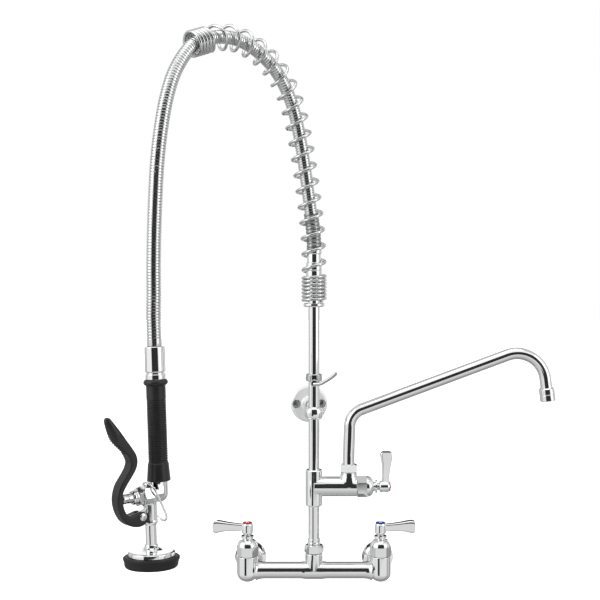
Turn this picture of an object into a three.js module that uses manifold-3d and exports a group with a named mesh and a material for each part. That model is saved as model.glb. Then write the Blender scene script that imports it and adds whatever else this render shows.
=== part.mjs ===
// Wall-mounted pre-rinse faucet for a commercial sink: a two-valve base with an 8 inch spread, a riser
// with an add-on valve and swing spout, a wall bracket, and a spring-guided hose with a squeeze spray valve.
// Millimetres, +Z up, +X to the right of the user, +Y towards the wall. The origin lies on the wall plane,
// midway between the two inlets and at their height.
import * as THREE from 'three';
import { mergeVertices } from 'three/addons/utils/BufferGeometryUtils.js';
import Module from 'manifold-3d';

const wasm = await Module();
wasm.setup();

// ---------------------------------------------------------------- driving dimensions (mm, degrees)
const CLEARANCE = 0.3; // between any two pieces that fit or screw together
const ROUND = 16; // sides of a large round
const MEDIUM = 12; // sides of a tube, a multiple of six so that a hexagon's corners meet its chamfer
const SMALL = 8; // sides of a small round

// base
const inletSpacing = 203.2;
const wallStandoff = 80; // riser axis to wall
const crossTubeRadius = 12.5;
const valveBodyRadius = 16;
const valveBodyTop = 22; // above the cross tube's axis
const valveBodyBottom = 17.3; // below it
const shankRadius = 13;
const shankLength = 34; // valve axis to the shank's face
const teeRadius = 13.4;
const teeTop = 26.6;

// inlets
const inletRadius = 10.6;
const inletBore = 8;
const inletBoreDepth = 34;
const inletNutFlats = 32;
const inletNutLength = 15;
const wallFlangeRadius = 25;
const wallFlangeDepth = 15;

// valve head, the same on both base valves and on the add-on valve; heights above the valve's axis
const cartridgeRadius = 9.6;
const cartridgeDepth = 5; // below the axis
const bonnetFlats = 28.3;
const bonnetHexHeight = 14.5;
const bonnetDomeHeight = 10.5;
const bonnetNeckRadius = 6.6;
const bonnetNeckHeight = 2.6;
const collarRadius = 9.65;
const collarHeight = 3;
const spindleRadius = 4.3;
const stemRadius = 5.5;
const stemHeight = 2.6;
const hubRadius = 8.7;
const hubHeight = 15.6;
const handleReach = 52.4;
const indexRingRadius = 7.3;
const indexRingHeight = 1.4;
const handleScrewRadius = 4;
const handleScrewHeight = 2.6;
const handleScrewShank = 2.2;
const handleScrewDepth = 12;

// riser
const riserRadius = 8.55;
const riserBore = 6.9;
const outletNutFlats = 25.8;
const outletNutHeight = 12.6;
const riserRingRadius = 9.5;
const riserRingHeight = 8.4;
const socketDepth = 12.5; // how far a riser tube enters a fitting

// add-on valve and spout
const addonBottom = 98.6;
const addonHeight = 55.5;
const addonRadius = 13;
const addonChamfer = 1.6;
const addonAxis = 127.8;
const barrelRadius = 15;
const barrelEnd = 65.6; // riser axis to the barrel's face
const spoutAxis = 53.1;
const spoutBossRadius = 12.5;
const spoutBossTop = 150;
const spoutRadius = 9;
const spoutBore = 7.4;
const spoutSocketDepth = 10;
const spoutNutFlats = 24.6;
const spoutNutHeight = 12.5;
const spoutCornerOut = 2; // the upright leans out this far by its corner
const spoutCornerHeight = 239;
const spoutCornerBend = 28.6;
const spoutPeakReach = 293.8; // swing axis to the far corner
const spoutPeakHeight = 347.5;
const spoutPeakBend = 43.4;
const spoutEndLean = 7; // the last run leans out this far from straight down
const spoutEndStraight = 23.7; // after the last bend
const shellRadius = 11.7;
const shellLength = 20;
const shellBore = 10.1;
const shellThread = 9; // how far the tube enters the shell
const aeratorLength = 4.6;

// wall bracket
const bracketHeight = 240.8;
const bracketRingRadius = 14.3;
const bracketRingHeight = 18.4;
const bracketArmRise = 4.2; // arm axis above the ring's middle
const bracketArmRadius = 6.4;
const bracketYaw = 6;
const bracketFlangeRadius = 29.7;
const bracketFlangeThick = 4.5;
const bracketHubRadius = 13;
const bracketHubLength = 17;
const bracketScrewSpread = 40.4;
const bracketScrewHead = 5.9;
const bracketScrewShank = 2.6;
const bracketScrewLength = 26;
const setScrewRadius = 2.6;

// finger hook
const hookHeight = 294.5;
const hookRingRadius = 12.5;
const hookRingHeight = 11;
const hookBarRadius = 2.6;
const hookReach = 34;
const hookRise = 13.5;
const hookForward = 12;

// hose and its spring
const archYaw = 41; // the arch leaves the riser to the left and this far towards the user
const springCollarBottom = 402.4;
const springCollarHeight = 5.6;
const springCollarRadius = 16;
const springRadius = 19.3;
const springWire = 2.35;
const springClosedPitch = 5.6;
const springClosedTurns = 7;
const springOpenPitch = 24.4;
const springEndTurns = 5;
const adapterBottom = 446;
const adapterTop = 489;
const adapterRadius = 12;
const adapterNeck = 10.6;
const sleeveLength = 56;
const sleeveRadius = 11.3;
const hoseRadius = 9.75;
const hoseBore = 6.5;
const hoseRibs = 85;
const ribDepth = 0.9;
const hoseSides = 8;

// spray valve: heights below the hose's end, reaches forward of the grip's axis
const sprayReach = 285; // riser axis to hose end, along the arch
const sprayHeight = 355;
const sprayLean = 1.9;
const hoseNutLength = 35;
const hoseNutRadius = 14.5;
const collarNeckLength = 2.6;
const gripCollarLength = 6.6;
const gripCollarRadius = 14.6;
const gripLength = 149.2;
const gripRadius = 13.65;
const gripRimRadius = 16.5;
const gripRimHeight = 8.8;
const gripSkirtRadius = 16;
const gripSkirtHeight = 34;
const bodyShankRadius = 9;
const neckRadius = 12.2;
const bonnetDrop = 198; // axis of the plunger's bonnet
const bodyBoss = 12.4;
const bodyBossEnd = 29;
const sprayBonnetFlats = 21.6;
const sprayBonnetHex = 7.4;
const sprayBonnetNose = 6.6;
const plungerRadius = 6.7;
const plungerTip = 60.3;
const plungerTail = 21;
const outletReach = 14.8; // axis of the outlet barrel
const outletBarrelRadius = 9.2;
const outletBarrelBottom = 236;
const outletTubeRadius = 7.6;
const outletTubeBottom = 268;
const pivotReach = 32;
const pivotDrop = 224;
const pivotRadius = 2.6;
const pivotHead = 5.2;
const lugRadius = 5.8;
const lugThickness = 7;
const leverReach = 44.8; // pivot to tip, forward
const leverRise = 133.4; // pivot to tip, up
const leverWidth = 15;
const leverThickness = 8;
const ringWire = 1.5;
const ringWidth = 32;
const ringTopReach = 19.6;
const ringTopDrop = 181.4;
const ringEndReach = -9;
const ringEndDrop = 237;
const plateRadius = 31.5;
const plateTop = 274.5;
const faceRadius = 28;
const bumperRadius = 38;
const bumperFoot = 34.5;
const bumperTop = 277.6;
const bumperBottom = 293;

// ---------------------------------------------------------------- finishes
const finish = (color, roughness, metalness) => new THREE.MeshStandardMaterial({ color, roughness, metalness });
const chrome = finish(0xd9dbdd, 0.08, 1);
const steel = finish(0xb9bcc0, 0.25, 1);
const brass = finish(0xb98d3e, 0.35, 1);
const nylon = finish(0x1d1d1f, 0.5, 0);
const rubber = finish(0x161617, 0.75, 0);
const washerRubber = finish(0x2b2b2d, 0.8, 0);
const red = finish(0xb3202c, 0.4, 0);
const blue = finish(0x1f4fa3, 0.4, 0);

// ---------------------------------------------------------------- shape tools
const degrees = THREE.MathUtils.degToRad;

// Radius of a many-sided hole whose flats clear a rod of the given radius.
const around = (radius, sides = ROUND) => (radius + CLEARANCE) / Math.cos(Math.PI / sides);

// Welds a geometry's corners, drops flattened triangles and turns the faces outwards.
function solidOf(geometry) {
  const bare = new THREE.BufferGeometry();
  bare.setAttribute('position', geometry.getAttribute('position').clone());
  if (geometry.index) bare.setIndex(geometry.index.clone());
  const welded = mergeVertices(bare, 1e-4);
  const points = welded.getAttribute('position').array;
  const corners = [];
  let volume = 0;
  for (let i = 0; i < welded.index.count; i += 3) {
    const [a, b, c] = [0, 1, 2].map((k) => welded.index.getX(i + k));
    if (a === b || b === c || c === a) continue;
    corners.push(a, b, c);
    const [p, q, r] = [a, b, c].map((k) => new THREE.Vector3().fromArray(points, 3 * k));
    volume += p.dot(q.cross(r));
  }
  if (volume < 0) corners.reverse();
  return new wasm.Manifold(new wasm.Mesh({
    numProp: 3,
    vertProperties: new Float32Array(points),
    triVerts: new Uint32Array(corners),
  }));
}

function geometryOf(solid) {
  const mesh = solid.getMesh();
  const geometry = new THREE.BufferGeometry();
  geometry.setAttribute('position', new THREE.BufferAttribute(new Float32Array(mesh.vertProperties), 3));
  geometry.setIndex(new THREE.BufferAttribute(new Uint32Array(mesh.triVerts), 1));
  return geometry;
}

const join = (...shapes) => geometryOf(shapes.map(solidOf).reduce((a, b) => a.add(b)));
const cut = (shape, ...tools) => geometryOf(tools.map(solidOf).reduce((a, b) => a.subtract(b), solidOf(shape)));
const common = (a, b) => geometryOf(solidOf(a).intersect(solidOf(b)));

// A turned piece about Z from [radius, height] points; a profile that stays off the axis closes on itself.
function revolve(profile, sides = ROUND) {
  const closed = profile[0][0] > 0 || profile.at(-1)[0] > 0 ? [...profile, profile[0]] : profile;
  const geometry = new THREE.LatheGeometry(closed.map(([r, z]) => new THREE.Vector2(r, z)), sides);
  return geometry.rotateX(Math.PI / 2);
}

const rod = (radius, from, to, sides = ROUND) =>
  revolve([[0, from], [radius, from], [radius, to], [0, to]], sides);
const pipe = (radius, bore, from, to, sides = ROUND) =>
  revolve([[bore, from], [radius, from], [radius, to], [bore, to]], sides);
const alongX = (geometry) => geometry.rotateY(Math.PI / 2);
const alongY = (geometry) => geometry.rotateX(-Math.PI / 2);

// Points of an arc in a [radius, height] profile.
function arc(centreR, centreZ, radiusR, radiusZ, from, to, steps) {
  return Array.from({ length: steps + 1 }, (_, i) => {
    const a = degrees(from + ((to - from) * i) / steps);
    return [centreR + radiusR * Math.cos(a), centreZ + radiusZ * Math.sin(a)];
  });
}

// A hexagon bar from one height to another with turned chamfers at its ends, its flats facing ±Y.
function hexBar(flats, from, to, chamferLow = 1, chamferHigh = 1) {
  const outline = new THREE.Shape(Array.from({ length: 6 }, (_, i) => {
    const a = (i * Math.PI) / 3;
    return new THREE.Vector2(Math.cos(a), Math.sin(a)).multiplyScalar(flats / Math.sqrt(3));
  }));
  const bar = new THREE.ExtrudeGeometry(outline, { depth: to - from, bevelEnabled: false }).translate(0, 0, from);
  const corner = flats / Math.sqrt(3) + 0.01;
  const low = Math.max(chamferLow, 0.01);
  const high = Math.max(chamferHigh, 0.01);
  const turned = revolve([
    [0, from], [corner - 2 * low, from], [corner, from + low], [corner, to - high], [corner - 2 * high, to], [0, to],
  ], MEDIUM);
  return common(bar, turned);
}

// A skin over rings of equally many points, closed by fans at both ends.
function loft(rings) {
  const count = rings[0].length;
  const points = rings.flat();
  const corners = [];
  for (let i = 0; i + 1 < rings.length; i += 1) {
    for (let k = 0; k < count; k += 1) {
      const a = i * count + k;
      const b = i * count + ((k + 1) % count);
      corners.push(a, b, b + count, a, b + count, a + count);
    }
  }
  const last = (rings.length - 1) * count;
  for (let k = 1; k + 1 < count; k += 1) {
    corners.push(0, k + 1, k, last, last + k, last + k + 1);
  }
  const geometry = new THREE.BufferGeometry();
  geometry.setFromPoints(points);
  geometry.setIndex(corners);
  return geometry;
}

// An oval with flattened sides: the section of a cast or moulded lever.
function ovalSection(centre, across, up, halfWidth, halfHeight, sides = 8) {
  return Array.from({ length: sides }, (_, i) => {
    const a = ((i + 0.5) * 2 * Math.PI) / sides;
    const soft = (value) => Math.sign(value) * Math.abs(value) ** 0.6;
    return centre.clone()
      .addScaledVector(across, halfWidth * soft(Math.cos(a)))
      .addScaledVector(up, halfHeight * soft(Math.sin(a)));
  });
}

// A path of straight runs joined by true arcs, sampled only where it turns.
class BentPath extends THREE.Curve {
  constructor(corners, bends, bendSteps) {
    super();
    this.points = [corners[0]];
    this.tangents = [corners[1].clone().sub(corners[0]).normalize()];
    for (let i = 1; i + 1 < corners.length; i += 1) {
      const back = corners[i - 1].clone().sub(corners[i]).normalize();
      const ahead = corners[i + 1].clone().sub(corners[i]).normalize();
      const half = back.angleTo(ahead) / 2;
      const centre = back.clone().add(ahead).normalize().multiplyScalar(bends[i - 1] / Math.sin(half)).add(corners[i]);
      const spoke = back.clone().multiplyScalar(bends[i - 1] / Math.tan(half)).add(corners[i]).sub(centre);
      const axis = back.clone().negate().cross(ahead).normalize();
      const steps = bendSteps[i - 1];
      for (let step = 0; step <= steps; step += 1) {
        const turn = ((Math.PI - 2 * half) * step) / steps;
        this.points.push(spoke.clone().applyAxisAngle(axis, turn).add(centre));
        this.tangents.push(back.clone().negate().applyAxisAngle(axis, turn));
      }
    }
    this.points.push(corners.at(-1));
    this.tangents.push(corners.at(-1).clone().sub(corners.at(-2)).normalize());
  }

  get steps() { return this.points.length - 1; }

  getPoint(t) { return this.points[Math.round(t * this.steps)].clone(); }

  getPointAt(t) { return this.getPoint(t); }

  getTangentAt(t) { return this.tangents[Math.round(t * this.steps)].clone(); }
}

function circleShape(radius, bore, sides) {
  const ring = (r, n) => Array.from({ length: n }, (_, i) => {
    const a = (i * 2 * Math.PI) / n;
    return new THREE.Vector2(r * Math.cos(a), r * Math.sin(a));
  });
  const shape = new THREE.Shape(ring(radius, sides));
  if (bore) shape.holes.push(new THREE.Path(ring(bore, sides)));
  return shape;
}

const sweep = (shape, path, steps) =>
  new THREE.ExtrudeGeometry(shape, { steps, extrudePath: path, bevelEnabled: false });

function piece(name, geometry, material) {
  const mesh = new THREE.Mesh(geometryOf(solidOf(geometry)), material);
  mesh.geometry.computeVertexNormals();
  mesh.name = name;
  return mesh;
}

function groupOf(...members) {
  const group = new THREE.Group();
  group.add(...members);
  return group;
}

// ---------------------------------------------------------------- levels that follow from the sizes
const bonnetBottom = valveBodyTop + CLEARANCE;
const bonnetShoulder = bonnetBottom + bonnetHexHeight;
const bonnetDomeTop = bonnetShoulder + bonnetDomeHeight;
const collarBottom = bonnetDomeTop + bonnetNeckHeight;
const collarTop = collarBottom + collarHeight;
const hubBottom = collarTop + stemHeight + 2 * CLEARANCE;
const hubTop = hubBottom + hubHeight;
const spindleTop = hubTop - 5;
const chamberRadius = around(cartridgeRadius, MEDIUM);
const chamberFloor = -cartridgeDepth - CLEARANCE;
const riserHole = around(riserRadius, MEDIUM);
const spoutHole = around(spoutRadius, MEDIUM);
const spindleHole = around(spindleRadius, SMALL);
const handleScrewHole = around(handleScrewShank, SMALL);
const valveX = inletSpacing / 2;
const headOnAddon = barrelEnd - valveBodyTop; // the add-on valve's centre, from the riser axis

// ---------------------------------------------------------------- base
// One casting: the cross tube flares into two upright valve bodies and carries the outlet tee.
function baseBody() {
  const flareStart = valveX - 28;
  const flareEnd = valveX - 9;
  const halfTube = [
    [crossTubeRadius, flareStart],
    ...arc(crossTubeRadius + 12, flareStart + 2, 12, flareEnd - flareStart, 180, 138, 3),
    [0, flareEnd + 4],
  ];
  const tube = alongX(revolve([...halfTube.map(([r, x]) => [r, -x]).reverse(), ...halfTube], MEDIUM));
  const body = (x) => revolve([
    ...arc(0, -4, valveBodyRadius, valveBodyBottom - 4, -90, 0, 4),
    [valveBodyRadius, valveBodyTop - 1], [valveBodyRadius - 1, valveBodyTop], [0, valveBodyTop],
  ]).translate(x, 0, 0);
  const shank = (x) => alongY(rod(shankRadius, 0, shankLength, MEDIUM)).translate(x, 0, 0);
  const chamber = (x) => rod(chamberRadius, chamberFloor, valveBodyTop + 1, MEDIUM).translate(x, 0, 0);
  const tee = revolve([[0, 0], [teeRadius, 0], [teeRadius, teeTop - 1], [teeRadius - 1, teeTop], [0, teeTop]], MEDIUM);
  const teeSocket = rod(riserHole, teeTop - socketDepth - CLEARANCE, teeTop + 1, MEDIUM);
  const casting = join(tube, body(-valveX), body(valveX), shank(-valveX), shank(valveX), tee);
  return piece('base_body', cut(casting, chamber(-valveX), chamber(valveX), teeSocket), chrome);
}

// Each inlet: a bored tailpiece held to the valve shank by a union nut, with a bell flange on the wall.
function inlet(side, x) {
  const start = shankLength + CLEARANCE;
  const boreFloor = wallStandoff - inletBoreDepth;
  const tail = alongY(revolve([
    [0, start], [inletRadius, start], [inletRadius, wallStandoff], [inletBore, wallStandoff],
    [inletBore, boreFloor], [0, boreFloor],
  ], MEDIUM));
  const nutMiddle = start;
  const nutLow = nutMiddle - inletNutLength * 0.6;
  const nutHigh = nutMiddle + inletNutLength * 0.4;
  const nut = alongY(cut(
    hexBar(inletNutFlats, nutLow, nutHigh),
    rod(around(shankRadius, MEDIUM), nutLow - 1, nutMiddle, MEDIUM),
    rod(around(inletRadius, MEDIUM), nutLow - 1, nutHigh + 1, MEDIUM),
  ));
  const bellTop = wallStandoff - wallFlangeDepth;
  const bellHole = around(inletRadius, MEDIUM);
  const bell = alongY(revolve([
    [bellHole, bellTop], [bellHole + 3, bellTop],
    ...arc(wallFlangeRadius, bellTop, wallFlangeRadius - bellHole - 3, wallFlangeDepth - 3, 180, 90, 4),
    [wallFlangeRadius, wallStandoff], [bellHole, wallStandoff],
  ]));
  return groupOf(
    piece(`${side}_inlet`, tail.translate(x, 0, 0), chrome),
    piece(`${side}_inlet_nut`, nut.translate(x, 0, 0), chrome),
    piece(`${side}_wall_flange`, bell.translate(x, 0, 0), chrome),
  );
}

// ---------------------------------------------------------------- valve head and lever handle
// Drawn upright about the valve's axis, with the lever pointing along +X.
function bonnet(name) {
  const corner = bonnetFlats / Math.sqrt(3);
  const hexagon = hexBar(bonnetFlats, bonnetBottom, bonnetShoulder, 0.8, 0.01);
  const domeFoot = corner - 0.6;
  const dome = revolve([
    [0, bonnetShoulder - 0.5], [domeFoot, bonnetShoulder - 0.5],
    ...arc(bonnetNeckRadius + 0.4, bonnetShoulder - 0.5, domeFoot - bonnetNeckRadius - 0.4, bonnetDomeHeight, 0, 90, 4),
    [bonnetNeckRadius, collarBottom], [collarRadius, collarBottom], [collarRadius, collarTop], [0, collarTop],
  ], MEDIUM);
  const cavityTop = bonnetShoulder;
  return piece(name, cut(
    join(hexagon, dome),
    rod(chamberRadius, bonnetBottom - 1, cavityTop, MEDIUM),
    rod(spindleHole, bonnetBottom - 1, collarTop + 1, SMALL),
  ), chrome);
}

function cartridge(name) {
  const top = bonnetShoulder - CLEARANCE;
  return piece(name, revolve([
    [spindleHole, -cartridgeDepth], [cartridgeRadius, -cartridgeDepth], [cartridgeRadius, top], [spindleHole, top],
  ], MEDIUM), brass);
}

function spindle(name) {
  const holeFloor = hubTop - handleScrewDepth - 1;
  const shoulder = collarTop + CLEARANCE;
  return piece(name, revolve([
    [0, -cartridgeDepth], [spindleRadius, -cartridgeDepth], [spindleRadius, shoulder], [stemRadius, shoulder],
    [stemRadius, shoulder + stemHeight], [spindleRadius, shoulder + stemHeight], [spindleRadius, spindleTop],
    [handleScrewHole, spindleTop], [handleScrewHole, holeFloor], [0, holeFloor],
  ], SMALL), brass);
}

// Cast lever: a slim root that deepens and widens to a rounded, slightly hooked end.
function leverHandle(name) {
  const stations = [ // share of the reach, lower edge, upper edge (from the hub's foot), half width
    [0.1, 4.4, 13.8, 3.9], [0.28, 4.0, 14.2, 3.9], [0.46, 4.2, 15.6, 4.2], [0.64, 4.5, 17.0, 4.9],
    [0.8, 3.8, 18.4, 5.8], [0.9, 2.4, 19.0, 6.3], [0.96, 2.8, 18.3, 5.8], [0.995, 6.4, 15.2, 3.6],
  ];
  const lever = loft(stations.map(([share, low, high, half]) => ovalSection(
    new THREE.Vector3(handleReach * share, 0, hubBottom + (low + high) / 2),
    new THREE.Vector3(0, 1, 0),
    new THREE.Vector3(0, 0, 1),
    half,
    (high - low) / 2,
  )));
  const hub = revolve([
    [0, hubBottom], [hubRadius - 1.2, hubBottom], [hubRadius, hubBottom + 1.6], [hubRadius, hubTop - 2.2],
    [hubRadius - 1.3, hubTop], [0, hubTop],
  ], MEDIUM);
  return piece(name, cut(
    join(hub, lever),
    rod(spindleHole, hubBottom - 1, spindleTop + CLEARANCE, SMALL),
    rod(handleScrewHole, hubBottom, hubTop + 1, SMALL),
  ), chrome);
}

function indexRing(name, material) {
  return piece(name, pipe(indexRingRadius, handleScrewRadius + CLEARANCE, hubTop, hubTop + indexRingHeight, MEDIUM), material);
}

function handleScrew(name) {
  const head = hubTop + CLEARANCE;
  return piece(name, revolve([
    [0, hubTop - handleScrewDepth], [handleScrewShank, hubTop - handleScrewDepth], [handleScrewShank, head],
    [handleScrewRadius, head], [handleScrewRadius, head + 1.2],
    ...arc(0, head + 1.2, handleScrewRadius, handleScrewHeight - 1.2, 0, 90, 3).slice(1),
  ], SMALL), chrome);
}

function valveHead(side, material) {
  return groupOf(
    bonnet(`${side}_bonnet`),
    cartridge(`${side}_cartridge`),
    spindle(`${side}_spindle`),
    leverHandle(`${side}_handle`),
    indexRing(`${side}_index_ring`, material),
    handleScrew(`${side}_handle_screw`),
  );
}

function valveHeads() {
  const hot = valveHead('hot', red);
  hot.position.x = -valveX;
  hot.rotation.z = Math.PI;
  const cold = valveHead('cold', blue);
  cold.position.x = valveX;
  const addon = valveHead('addon', red);
  addon.position.set(headOnAddon, 0, addonAxis);
  addon.quaternion.setFromAxisAngle(new THREE.Vector3(1, 0, 1).normalize(), Math.PI);
  return groupOf(hot, cold, addon);
}

// ---------------------------------------------------------------- riser
function outletNut() {
  const bottom = teeTop + CLEARANCE;
  const nut = cut(
    hexBar(outletNutFlats, bottom, bottom + outletNutHeight, 1.2, 1.2),
    rod(riserHole, bottom - 1, bottom + outletNutHeight + 1, MEDIUM),
  );
  return piece('outlet_nut', nut, chrome);
}

function lowerRiser() {
  const ringBottom = teeTop + outletNutHeight + 2 * CLEARANCE;
  const top = addonBottom + socketDepth;
  return piece('lower_riser', revolve([
    [riserBore, teeTop - socketDepth], [riserRadius, teeTop - socketDepth], [riserRadius, ringBottom],
    [riserRingRadius, ringBottom], [riserRingRadius, ringBottom + riserRingHeight],
    [riserRadius, ringBottom + riserRingHeight], [riserRadius, top], [riserBore, top],
  ], MEDIUM), chrome);
}

function addonBody() {
  const top = addonBottom + addonHeight;
  const sleeve = revolve([
    [0, addonBottom], [addonRadius - addonChamfer, addonBottom], [addonRadius, addonBottom + addonChamfer],
    [addonRadius, top - addonChamfer], [addonRadius - addonChamfer, top], [0, top],
  ], MEDIUM);
  const barrel = alongX(revolve([[0, 0], [barrelRadius, 0], [barrelRadius, barrelEnd - 1],
    [barrelRadius - 1, barrelEnd], [0, barrelEnd]])).translate(0, 0, addonAxis);
  const boss = revolve([[0, addonAxis], [spoutBossRadius, addonAxis], [spoutBossRadius, spoutBossTop - 0.8],
    [spoutBossRadius - 0.8, spoutBossTop], [0, spoutBossTop]], MEDIUM).translate(spoutAxis, 0, 0);
  const lowSocket = rod(riserHole, addonBottom - 1, addonBottom + socketDepth + CLEARANCE, MEDIUM);
  const highSocket = rod(riserHole, top - socketDepth - CLEARANCE, top + 1, MEDIUM);
  const waterway = rod(riserBore, addonBottom, top, MEDIUM);
  const chamber = alongX(rod(chamberRadius, headOnAddon + chamberFloor, barrelEnd + 1, MEDIUM)).translate(0, 0, addonAxis);
  const feed = alongX(rod(4, 0, headOnAddon, SMALL)).translate(0, 0, addonAxis);
  const spoutSocket = rod(spoutHole, spoutBossTop - spoutSocketDepth, spoutBossTop + 1, MEDIUM);
  const spoutFeed = rod(4, addonAxis, spoutBossTop, SMALL);
  return piece('addon_body', cut(
    join(sleeve, barrel, boss),
    lowSocket, highSocket, waterway, chamber, feed,
    spoutSocket.translate(spoutAxis, 0, 0), spoutFeed.translate(spoutAxis, 0, 0),
  ), chrome);
}

function riser() {
  const bottom = addonBottom + addonHeight - socketDepth;
  return piece('riser', pipe(riserRadius, riserBore, bottom, adapterBottom + socketDepth, MEDIUM), chrome);
}

// ---------------------------------------------------------------- swing spout
function spoutPath() {
  const at = (reach, z) => new THREE.Vector3(spoutAxis + reach, 0, z);
  const rise = Math.atan2(spoutPeakHeight - spoutCornerHeight, spoutPeakReach - spoutCornerOut);
  const lean = degrees(spoutEndLean);
  const endRun = spoutPeakBend * Math.tan((rise + Math.PI / 2 - lean) / 2) + spoutEndStraight;
  return new BentPath(
    [
      at(0, spoutBossTop - spoutSocketDepth + 2 * CLEARANCE),
      at(0, spoutBossTop + spoutNutHeight + 12),
      at(spoutCornerOut, spoutCornerHeight),
      at(spoutPeakReach, spoutPeakHeight),
      at(spoutPeakReach + endRun * Math.sin(lean), spoutPeakHeight - endRun * Math.cos(lean)),
    ],
    [120, spoutCornerBend, spoutPeakBend],
    [1, 4, 6],
  );
}

function spoutPieces() {
  const path = spoutPath();
  const tube = sweep(circleShape(spoutRadius, spoutBore, MEDIUM), path, path.steps);
  const nutBottom = spoutBossTop + CLEARANCE;
  const nutTop = nutBottom + spoutNutHeight;
  const nut = cut(
    hexBar(spoutNutFlats, nutBottom, nutTop, 1.2, 1.6),
    rod(spoutHole, nutBottom - 1, nutTop + 1, MEDIUM),
    rod(spoutRadius + 2, nutBottom - 1, nutBottom + 3, MEDIUM),
  );
  const washer = pipe(spoutRadius + 2 - CLEARANCE, spoutHole, nutBottom, nutBottom + 3 - CLEARANCE, MEDIUM);
  return groupOf(
    piece('spout', tube, chrome),
    piece('spout_nut', nut.translate(spoutAxis, 0, 0), chrome),
    piece('spout_washer', washer.translate(spoutAxis, 0, 0), washerRubber),
    outletShell(path),
  );
}

// The shell screws over the tube's end and holds the aerator a little above its open mouth.
function outletShell(path) {
  const seat = shellThread + CLEARANCE;
  const shell = revolve([
    [spoutHole, 0], [shellRadius - 1.2, 0], [shellRadius, -1.4], [shellRadius, 0.6 - shellLength],
    [shellRadius - 0.6, -shellLength], [shellBore, -shellLength], [shellBore, -seat], [spoutHole, -seat],
  ], MEDIUM);
  const disc = rod(shellBore - 2 * CLEARANCE, -seat - aeratorLength, -seat - CLEARANCE, MEDIUM);
  const passage = (x, y) => rod(1.6, -seat - aeratorLength - 1, 0, 6).translate(x, y, 0);
  const ring = Array.from({ length: 6 }, (_, i) => passage(5.6 * Math.cos(i * Math.PI / 3), 5.6 * Math.sin(i * Math.PI / 3)));
  const end = path.points.at(-1);
  const direction = path.tangents.at(-1);
  const group = groupOf(
    piece('outlet_shell', shell, chrome),
    piece('aerator', cut(disc, passage(0, 0), ...ring), steel),
  );
  group.position.copy(end).addScaledVector(direction, -shellThread);
  group.quaternion.setFromUnitVectors(new THREE.Vector3(0, 0, -1), direction);
  return group;
}

// ---------------------------------------------------------------- wall bracket and finger hook
// A ring with its arm clamps the riser; the arm screws into the wall flange's hub.
function wallBracket() {
  const half = bracketRingHeight / 2;
  const armZ = bracketArmRise;
  const armStart = 10;
  const hubStart = wallStandoff - bracketFlangeThick - bracketHubLength;
  const armEnd = wallStandoff - bracketFlangeThick - 2;
  const ring = revolve([
    [0, -half], [bracketRingRadius - 1.6, -half], [bracketRingRadius - 0.4, 1.4 - half], [bracketRingRadius - 1.4, 3.4 - half],
    ...arc(bracketRingRadius - 7, 0.6, 7, half - 2.4, -50, 62, 4),
    [bracketRingRadius - 4.4, half], [0, half],
  ], MEDIUM);
  const arm = alongY(rod(bracketArmRadius, 0, armEnd, MEDIUM)).translate(0, 0, armZ);
  const shoulder = alongY(revolve([
    [0, armStart], [bracketArmRadius + 2.4, armStart], [bracketArmRadius + 2.4, armStart + 7],
    [bracketArmRadius + 0.6, armStart + 10], [0, armStart + 10],
  ], MEDIUM)).translate(0, 0, armZ);
  const ringHole = rod(riserHole, -half - 1, armZ + bracketArmRadius + half, MEDIUM);
  const setHole = alongX(rod(setScrewRadius + CLEARANCE, riserRadius, bracketRingRadius + 2, SMALL));
  const flange = revolve([
    [bracketArmRadius + CLEARANCE, wallStandoff], [bracketArmRadius + CLEARANCE, hubStart],
    [bracketHubRadius - 2.6, hubStart], [bracketHubRadius - 2.6, hubStart + 5], [bracketHubRadius, hubStart + 8],
    [bracketHubRadius + 2.4, wallStandoff - bracketFlangeThick - 1.2],
    [bracketFlangeRadius - 4, wallStandoff - bracketFlangeThick - 0.4],
    [bracketFlangeRadius, wallStandoff - 2.4], [bracketFlangeRadius, wallStandoff],
  ]);
  const backPlug = rod(bracketArmRadius + 1, armEnd + CLEARANCE, wallStandoff, MEDIUM);
  const spots = [-bracketScrewSpread / 2, bracketScrewSpread / 2];
  const holes = spots.map((x) => revolve([
    [0, hubStart], [bracketScrewHead + CLEARANCE, hubStart], [bracketScrewHead + CLEARANCE, screwSeat() + CLEARANCE],
    [bracketScrewShank + CLEARANCE, screwSeat() + 3 + CLEARANCE], [bracketScrewShank + CLEARANCE, wallStandoff + 1],
    [0, wallStandoff + 1],
  ], SMALL).translate(x, 0, 0));
  const group = groupOf(
    piece('bracket_ring', cut(join(ring, arm, shoulder), ringHole, setHole), chrome),
    piece('bracket_flange', alongY(cut(join(flange, backPlug), ...holes)).translate(0, 0, armZ), chrome),
    ...spots.map((x, i) => wallScrew(['bracket_screw_left', 'bracket_screw_right'][i], x, armZ)),
    piece('bracket_set_screw', alongX(rod(setScrewRadius, riserRadius + CLEARANCE, bracketRingRadius + 0.8, SMALL)), steel),
  );
  group.position.z = bracketHeight;
  group.rotation.z = degrees(bracketYaw);
  return group;
}

// Where the countersunk head begins, measured from the riser's axis.
function screwSeat() {
  return wallStandoff - bracketFlangeThick + 1;
}

function wallScrew(name, x, z) {
  const seat = screwSeat();
  const length = wallStandoff - seat - CLEARANCE;
  const screw = revolve([
    [0, seat - 1.6], [bracketScrewHead * 0.55, seat - 1.3], [bracketScrewHead, seat - 0.2], [bracketScrewHead, seat],
    [bracketScrewShank, seat + 3], [bracketScrewShank, seat + length], [0, seat + length],
  ], SMALL);
  return piece(name, alongY(screw).translate(x, 0, z), steel);
}

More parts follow.
